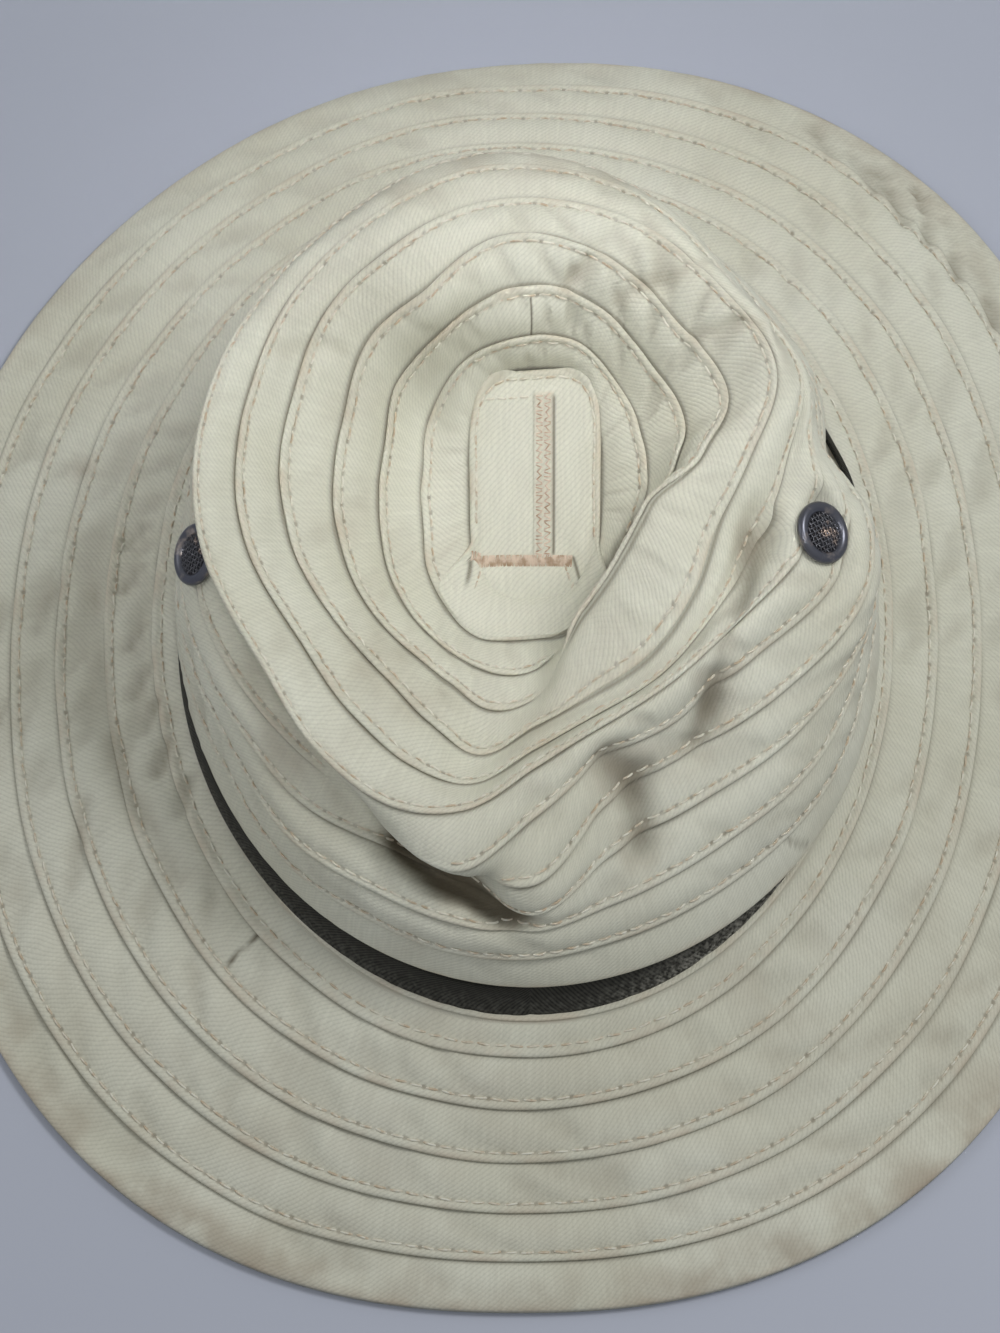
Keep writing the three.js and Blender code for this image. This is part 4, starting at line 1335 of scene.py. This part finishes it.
def ribbon_material():
    """Dark ribbon with a slanted rib painted darker in its grooves as shade, and pale lint that is also a
    painted highlight on the front right.
    """
    material, tree, shader = new_material("dark_ribbon", roughness=0.8, Specular_IOR_Level=0.3)
    cloth = add(tree, "ShaderNodeUVMap", uv_map="cloth").outputs["UV"]
    parts = add(tree, "ShaderNodeSeparateXYZ", {0: cloth})
    slant = calc(tree, "ADD", parts.outputs[0], parts.outputs[1])
    rib = calc(tree, "ABSOLUTE", calc(tree, "SINE", calc(tree, "MULTIPLY", slant, math.pi / RIBBON_RIB)))
    colour = mix_colour(tree, rib, *RIBBON_COLOURS)
    place = add(tree, "ShaderNodeTexCoord").outputs["Object"]
    lint_and_highlight = calc(tree, "MULTIPLY", attribute(tree, "stain"), spots(tree, place, *LINT_AND_HIGHLIGHT_SPOTS))
    colour = mix_colour(tree, lint_and_highlight, colour, LINT_AND_HIGHLIGHT)
    tree.links.new(colour, shader.inputs["Base Color"])
    bump = add(tree, "ShaderNodeBump", RIBBON_BUMP | {"Height": rib})
    tree.links.new(bump.outputs["Normal"], shader.inputs["Normal"])
    return material


# Stitches and wires by geometry nodes

THREAD_POINTS = 6  # along a stitch
THREAD_SIDES, WIRE_SIDES = 6, 5
DIP = {"power": 2.5, "depth": 1.8}  # how a stitch goes down at its ends, in parts of its arch
STITCH_LIFT = 0.06
CANVAS_STITCH = {"Length": 2.8, "Radius": 0.27, "Arch": 0.26, "Sway": 0.14}
PATCH_STITCH = CANVAS_STITCH | {"Length": 2.3}
ZIGZAG_STITCH = {"Length": 1.5, "Radius": 0.17, "Arch": 0.14, "Sway": 0.5}
BAR_STITCH = {"Length": 2.7, "Radius": 0.26, "Arch": 0.25, "Sway": 0.2}


def round_tube(tree, line, radius, sides):
    """A closed tube along a curve."""
    circle = add(tree, "GeometryNodeCurvePrimitiveCircle", {"Resolution": sides, "Radius": radius})
    inputs = {"Curve": line, "Profile Curve": circle.outputs[0], "Fill Caps": True}
    return add(tree, "GeometryNodeCurveToMesh", inputs).outputs[0]


def node_group(name, inputs):
    """New geometry tree with a geometry input, the named inputs and a geometry output."""
    tree = bpy.data.node_groups.new(name, "GeometryNodeTree")
    tree.interface.new_socket("Geometry", in_out="INPUT", socket_type="NodeSocketGeometry")
    for label, kind in inputs.items():
        tree.interface.new_socket(label, in_out="INPUT", socket_type="NodeSocket" + kind)
    tree.interface.new_socket("Geometry", in_out="OUTPUT", socket_type="NodeSocketGeometry")
    return tree, tree.nodes.new("NodeGroupInput").outputs


def end_group(tree, geometry, material):
    """Last nodes of a tree: the instances made real, smooth and with their material."""
    real = add(tree, "GeometryNodeRealizeInstances", {0: geometry}).outputs[0]
    smooth = add(tree, "GeometryNodeSetShadeSmooth", {0: real}).outputs[0]
    painted = add(tree, "GeometryNodeSetMaterial", {0: smooth, "Material": material}).outputs[0]
    tree.links.new(painted, tree.nodes.new("NodeGroupOutput").inputs[0])


def arched_thread(tree, given):
    """A short thread along X that bows up in the middle and dips at both ends."""
    half = calc(tree, "MULTIPLY", given["Length"], 0.5)
    start = add(tree, "ShaderNodeCombineXYZ", {0: calc(tree, "MULTIPLY", half, -1.0)}).outputs[0]
    end = add(tree, "ShaderNodeCombineXYZ", {0: half}).outputs[0]
    line = add(tree, "GeometryNodeCurvePrimitiveLine", {"Start": start, "End": end}).outputs[0]
    line = add(tree, "GeometryNodeResampleCurve", {0: line, "Count": THREAD_POINTS}).outputs[0]
    share = add(tree, "GeometryNodeSplineParameter").outputs["Factor"]
    side = calc(tree, "ABSOLUTE", calc(tree, "SUBTRACT", calc(tree, "MULTIPLY", share, 2.0), 1.0))
    dip = calc(tree, "MULTIPLY", calc(tree, "POWER", side, DIP["power"]), DIP["depth"])
    rise = calc(tree, "MULTIPLY", calc(tree, "SUBTRACT", 1.0, dip), given["Arch"])
    offset = add(tree, "ShaderNodeCombineXYZ", {2: rise}).outputs[0]
    line = add(tree, "GeometryNodeSetPosition", {0: line, "Offset": offset}).outputs[0]
    return round_tube(tree, line, given["Radius"], THREAD_SIDES)


def stitch_tree():
    """A short arched thread at each point, along its run and standing on its cloth."""
    kinds = {"Length": "Float", "Radius": "Float", "Arch": "Float", "Sway": "Float", "Seed": "Int"}
    tree, given = node_group("stitches", kinds | {"Material": "Material"})
    run, lie = (
        add(tree, "GeometryNodeInputNamedAttribute", {0: label}, data_type="FLOAT_VECTOR").outputs[0]
        for label in ("run", "lie")
    )
    turned = add(tree, "FunctionNodeAlignRotationToVector", {"Vector": run}, axis="X").outputs[0]
    upright = {"Rotation": turned, "Vector": lie}
    turned = add(tree, "FunctionNodeAlignRotationToVector", upright, axis="Z", pivot_axis="X").outputs[0]
    limits = {2: calc(tree, "MULTIPLY", given["Sway"], -1.0), 3: given["Sway"], "Seed": given["Seed"]}
    sway = add(tree, "FunctionNodeRandomValue", limits, data_type="FLOAT").outputs[1]
    twist = add(tree, "ShaderNodeCombineXYZ", {2: sway}).outputs[0]
    twist = add(tree, "FunctionNodeEulerToRotation", {0: twist}).outputs[0]
    both = {"Rotation": turned, "Rotate By": twist}
    turned = add(tree, "FunctionNodeRotateRotation", both, rotation_space="LOCAL").outputs[0]
    placing = {"Points": given["Geometry"], "Instance": arched_thread(tree, given), "Rotation": turned}
    end_group(tree, add(tree, "GeometryNodeInstanceOnPoints", placing).outputs[0], given["Material"])
    return tree


def wire_tree():
    """A round wire along each line of edges."""
    tree, given = node_group("wires", {"Radius": "Float", "Material": "Material"})
    lines = add(tree, "GeometryNodeMeshToCurve", {0: given["Geometry"]}).outputs[0]
    end_group(tree, round_tube(tree, lines, given["Radius"], WIRE_SIDES), given["Material"])
    return tree


def made_by(tree, piece, values):
    """Runs a tree on a piece with its named inputs set, and keeps the result as the piece's plain mesh."""
    modifier = piece.modifiers.new(tree.name, "NODES")
    modifier.node_group = tree
    for item in tree.interface.items_tree:
        if item.in_out == "INPUT" and item.name in values:
            modifier[item.identifier] = values[item.name]
    bpy.context.view_layer.update()
    evaluated = piece.evaluated_get(bpy.context.evaluated_depsgraph_get())
    mesh = bpy.data.meshes.new_from_object(evaluated)
    piece.modifiers.clear()
    piece.data = mesh
    return piece


def stitches(name, places, material, sizes=CANVAS_STITCH):
    """Threads at the given places."""
    middles, runs, lies = places
    mesh = bpy.data.meshes.new(name)
    mesh.from_pydata(((middles + lies * STITCH_LIFT) * MM).tolist(), [], [])
    for label, vectors in (("run", runs), ("lie", lies)):
        own = mesh.attributes.new(label, "FLOAT_VECTOR", "POINT")
        own.data.foreach_set("vector", vectors.astype(np.float32).ravel())
    lengths = {label: sizes[label] * MM for label in ("Length", "Radius", "Arch")}
    values = sizes | lengths | {"Seed": SEED, "Material": material}
    return made_by(STITCHES, new_object(name, mesh), values)


def wires(name, lines, radius, material):
    """Round wires along the given lines."""
    edges = []
    start = 0
    for line in lines:
        edges += [(number, number + 1) for number in range(start, start + len(line) - 1)]
        start += len(line)
    mesh = bpy.data.meshes.new(name)
    mesh.from_pydata((np.concatenate(lines) * MM).tolist(), edges, [])
    return made_by(WIRES, new_object(name, mesh), {"Radius": radius * MM, "Material": material})


STITCHES, WIRES = stitch_tree(), wire_tree()


# Pieces

canvas = cotton("cream_canvas", grime_and_shade_share=0.55)
patch_canvas = cotton("cream_patch", grime_and_shade_share=0.3)
brim_canvas = cotton("cream_brim", grime_and_shade_share=0.55)
thread = thread_material("cream_thread", (0.70, 0.68, 0.58, 1), (0.52, 0.42, 0.30, 1))
tan_thread = thread_material("tan_thread", (0.68, 0.56, 0.45, 1), (0.40, 0.28, 0.19, 1))
dark_ribbon = ribbon_material()
dark_metal = two_tone("gunmetal", METAL_COLOURS, METAL_SPOTS, roughness=0.32, Metallic=0.85)
dark_wire = two_tone("mesh_wire", WIRE_COLOURS, WIRE_SPOTS, roughness=0.4, Metallic=0.6)


def dress(piece, material, nodes):
    """Gives a piece its material unless it has one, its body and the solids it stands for."""
    if material:
        piece.data.materials.clear()
        piece.data.materials.append(material)
    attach(piece, "root")
    if nodes:
        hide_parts(*nodes)
    return piece


side_piece, side_rows = crown_side()
top_piece, top_rows = crown_top()
brim_piece, brim_rows = brim()
patch_piece, band_piece = patch(), band()
dress(side_piece, canvas, ["crown_side"])
dress(top_piece, canvas, ["crown_top"])
dress(brim_piece, brim_canvas, ["brim"])
dress(patch_piece, patch_canvas, ["crown_patch"])
dress(band_piece, dark_ribbon, ["hat_band"])
side_thread = dress(stitches("crown_side_stitches", side_rows, thread), None, [])
top_thread = dress(stitches("crown_top_stitches", top_rows, thread), None, [])
brim_thread = dress(stitches("brim_stitches", brim_rows, thread), None, [])
patch_thread = stitches("patch_stitches", patch_rows(), thread, PATCH_STITCH)
zigzag = stitches("tape_stitches", tape_rows(), tan_thread, ZIGZAG_STITCH)
bar_tack = stitches("bar_tack", bar_rows(), tan_thread, BAR_STITCH)
for piece in (patch_thread, zigzag, bar_tack):
    dress(piece, None, [])
for name in VENTS:
    dress(vent_rim(name), dark_metal, [name])
    mesh_piece = wires(name + "_mesh", vent_wires(name), VENT_WIRES["radius"], dark_wire)
    dress(mesh_piece, None, [])


# Stage, in metres

FLOOR_REACH = 3.0
FLOOR_COLOUR = (0.43, 0.455, 0.53, 1)
HAT_MIDDLE = (0, 0, 0.04)
HOLLOW_MIDDLE = (0, 0.04, 0.075)
SKY = {"Color": (0.94, 0.97, 1.0, 1), "Strength": 0.42}


def floor():
    """Plain floor under the hat."""
    mesh = bpy.data.meshes.new("floor")
    corners = [(x * FLOOR_REACH, y * FLOOR_REACH, 0) for x, y in ((-1, -1), (1, -1), (1, 1), (-1, 1))]
    mesh.from_pydata(corners, [], [(0, 1, 2, 3)])
    mesh.materials.append(new_material("pale_floor", roughness=0.6, Base_Color=FLOOR_COLOUR)[0])
    new_object("floor", mesh)


def soft_light(name, place, target, size, power, spread=180):
    """Round lamp aimed at a point; a small spread keeps its light close to its axis."""
    data = bpy.data.lights.new(name, "AREA")
    data.shape = "DISK"
    data.size = size
    data.energy = power
    data.spread = math.radians(spread)
    lamp = new_object(name, data)
    lamp.location = place
    lamp.rotation_euler = (Vector(target) - Vector(place)).to_track_quat("-Z", "Y").to_euler()


PHOTO_SIZE = (1000, 1333)
FOCAL_PIXELS = 3654.0
CAMERA_ELEVATION = 66.0
CAMERA_PLACE = (-0.0044, -0.3709, 0.8200)
SENSOR = 36.0


def camera():
    """Camera at the photograph's viewing angle, with its frame."""
    data = bpy.data.cameras.new("camera")
    data.sensor_width = SENSOR
    data.lens = FOCAL_PIXELS / max(PHOTO_SIZE) * SENSOR
    piece = new_object("camera", data)
    piece.location = CAMERA_PLACE
    piece.rotation_euler = (math.radians(90 - CAMERA_ELEVATION), 0, 0)
    bpy.context.scene.camera = piece


def studio():
    """Light from high on the right, a weak one from the left, a narrow beam on the hollow and a pale sky."""
    soft_light("key", (0.42, 0.10, 0.80), HAT_MIDDLE, size=0.3, power=2.9)
    soft_light("fill", (-0.56, 0.05, 0.50), HAT_MIDDLE, size=0.4, power=0.5)
    soft_light("top", (0.02, -0.28, 0.74), HOLLOW_MIDDLE, size=0.15, power=0.03, spread=18)
    world = bpy.data.worlds.new("studio")
    world.use_nodes = True
    background = world.node_tree.nodes["Background"]
    for label, value in SKY.items():
        background.inputs[label].default_value = value
    bpy.context.scene.world = world
    bpy.context.scene.view_settings.view_transform = "Standard"


floor()
studio()
camera()

bpy.context.view_layer.update()
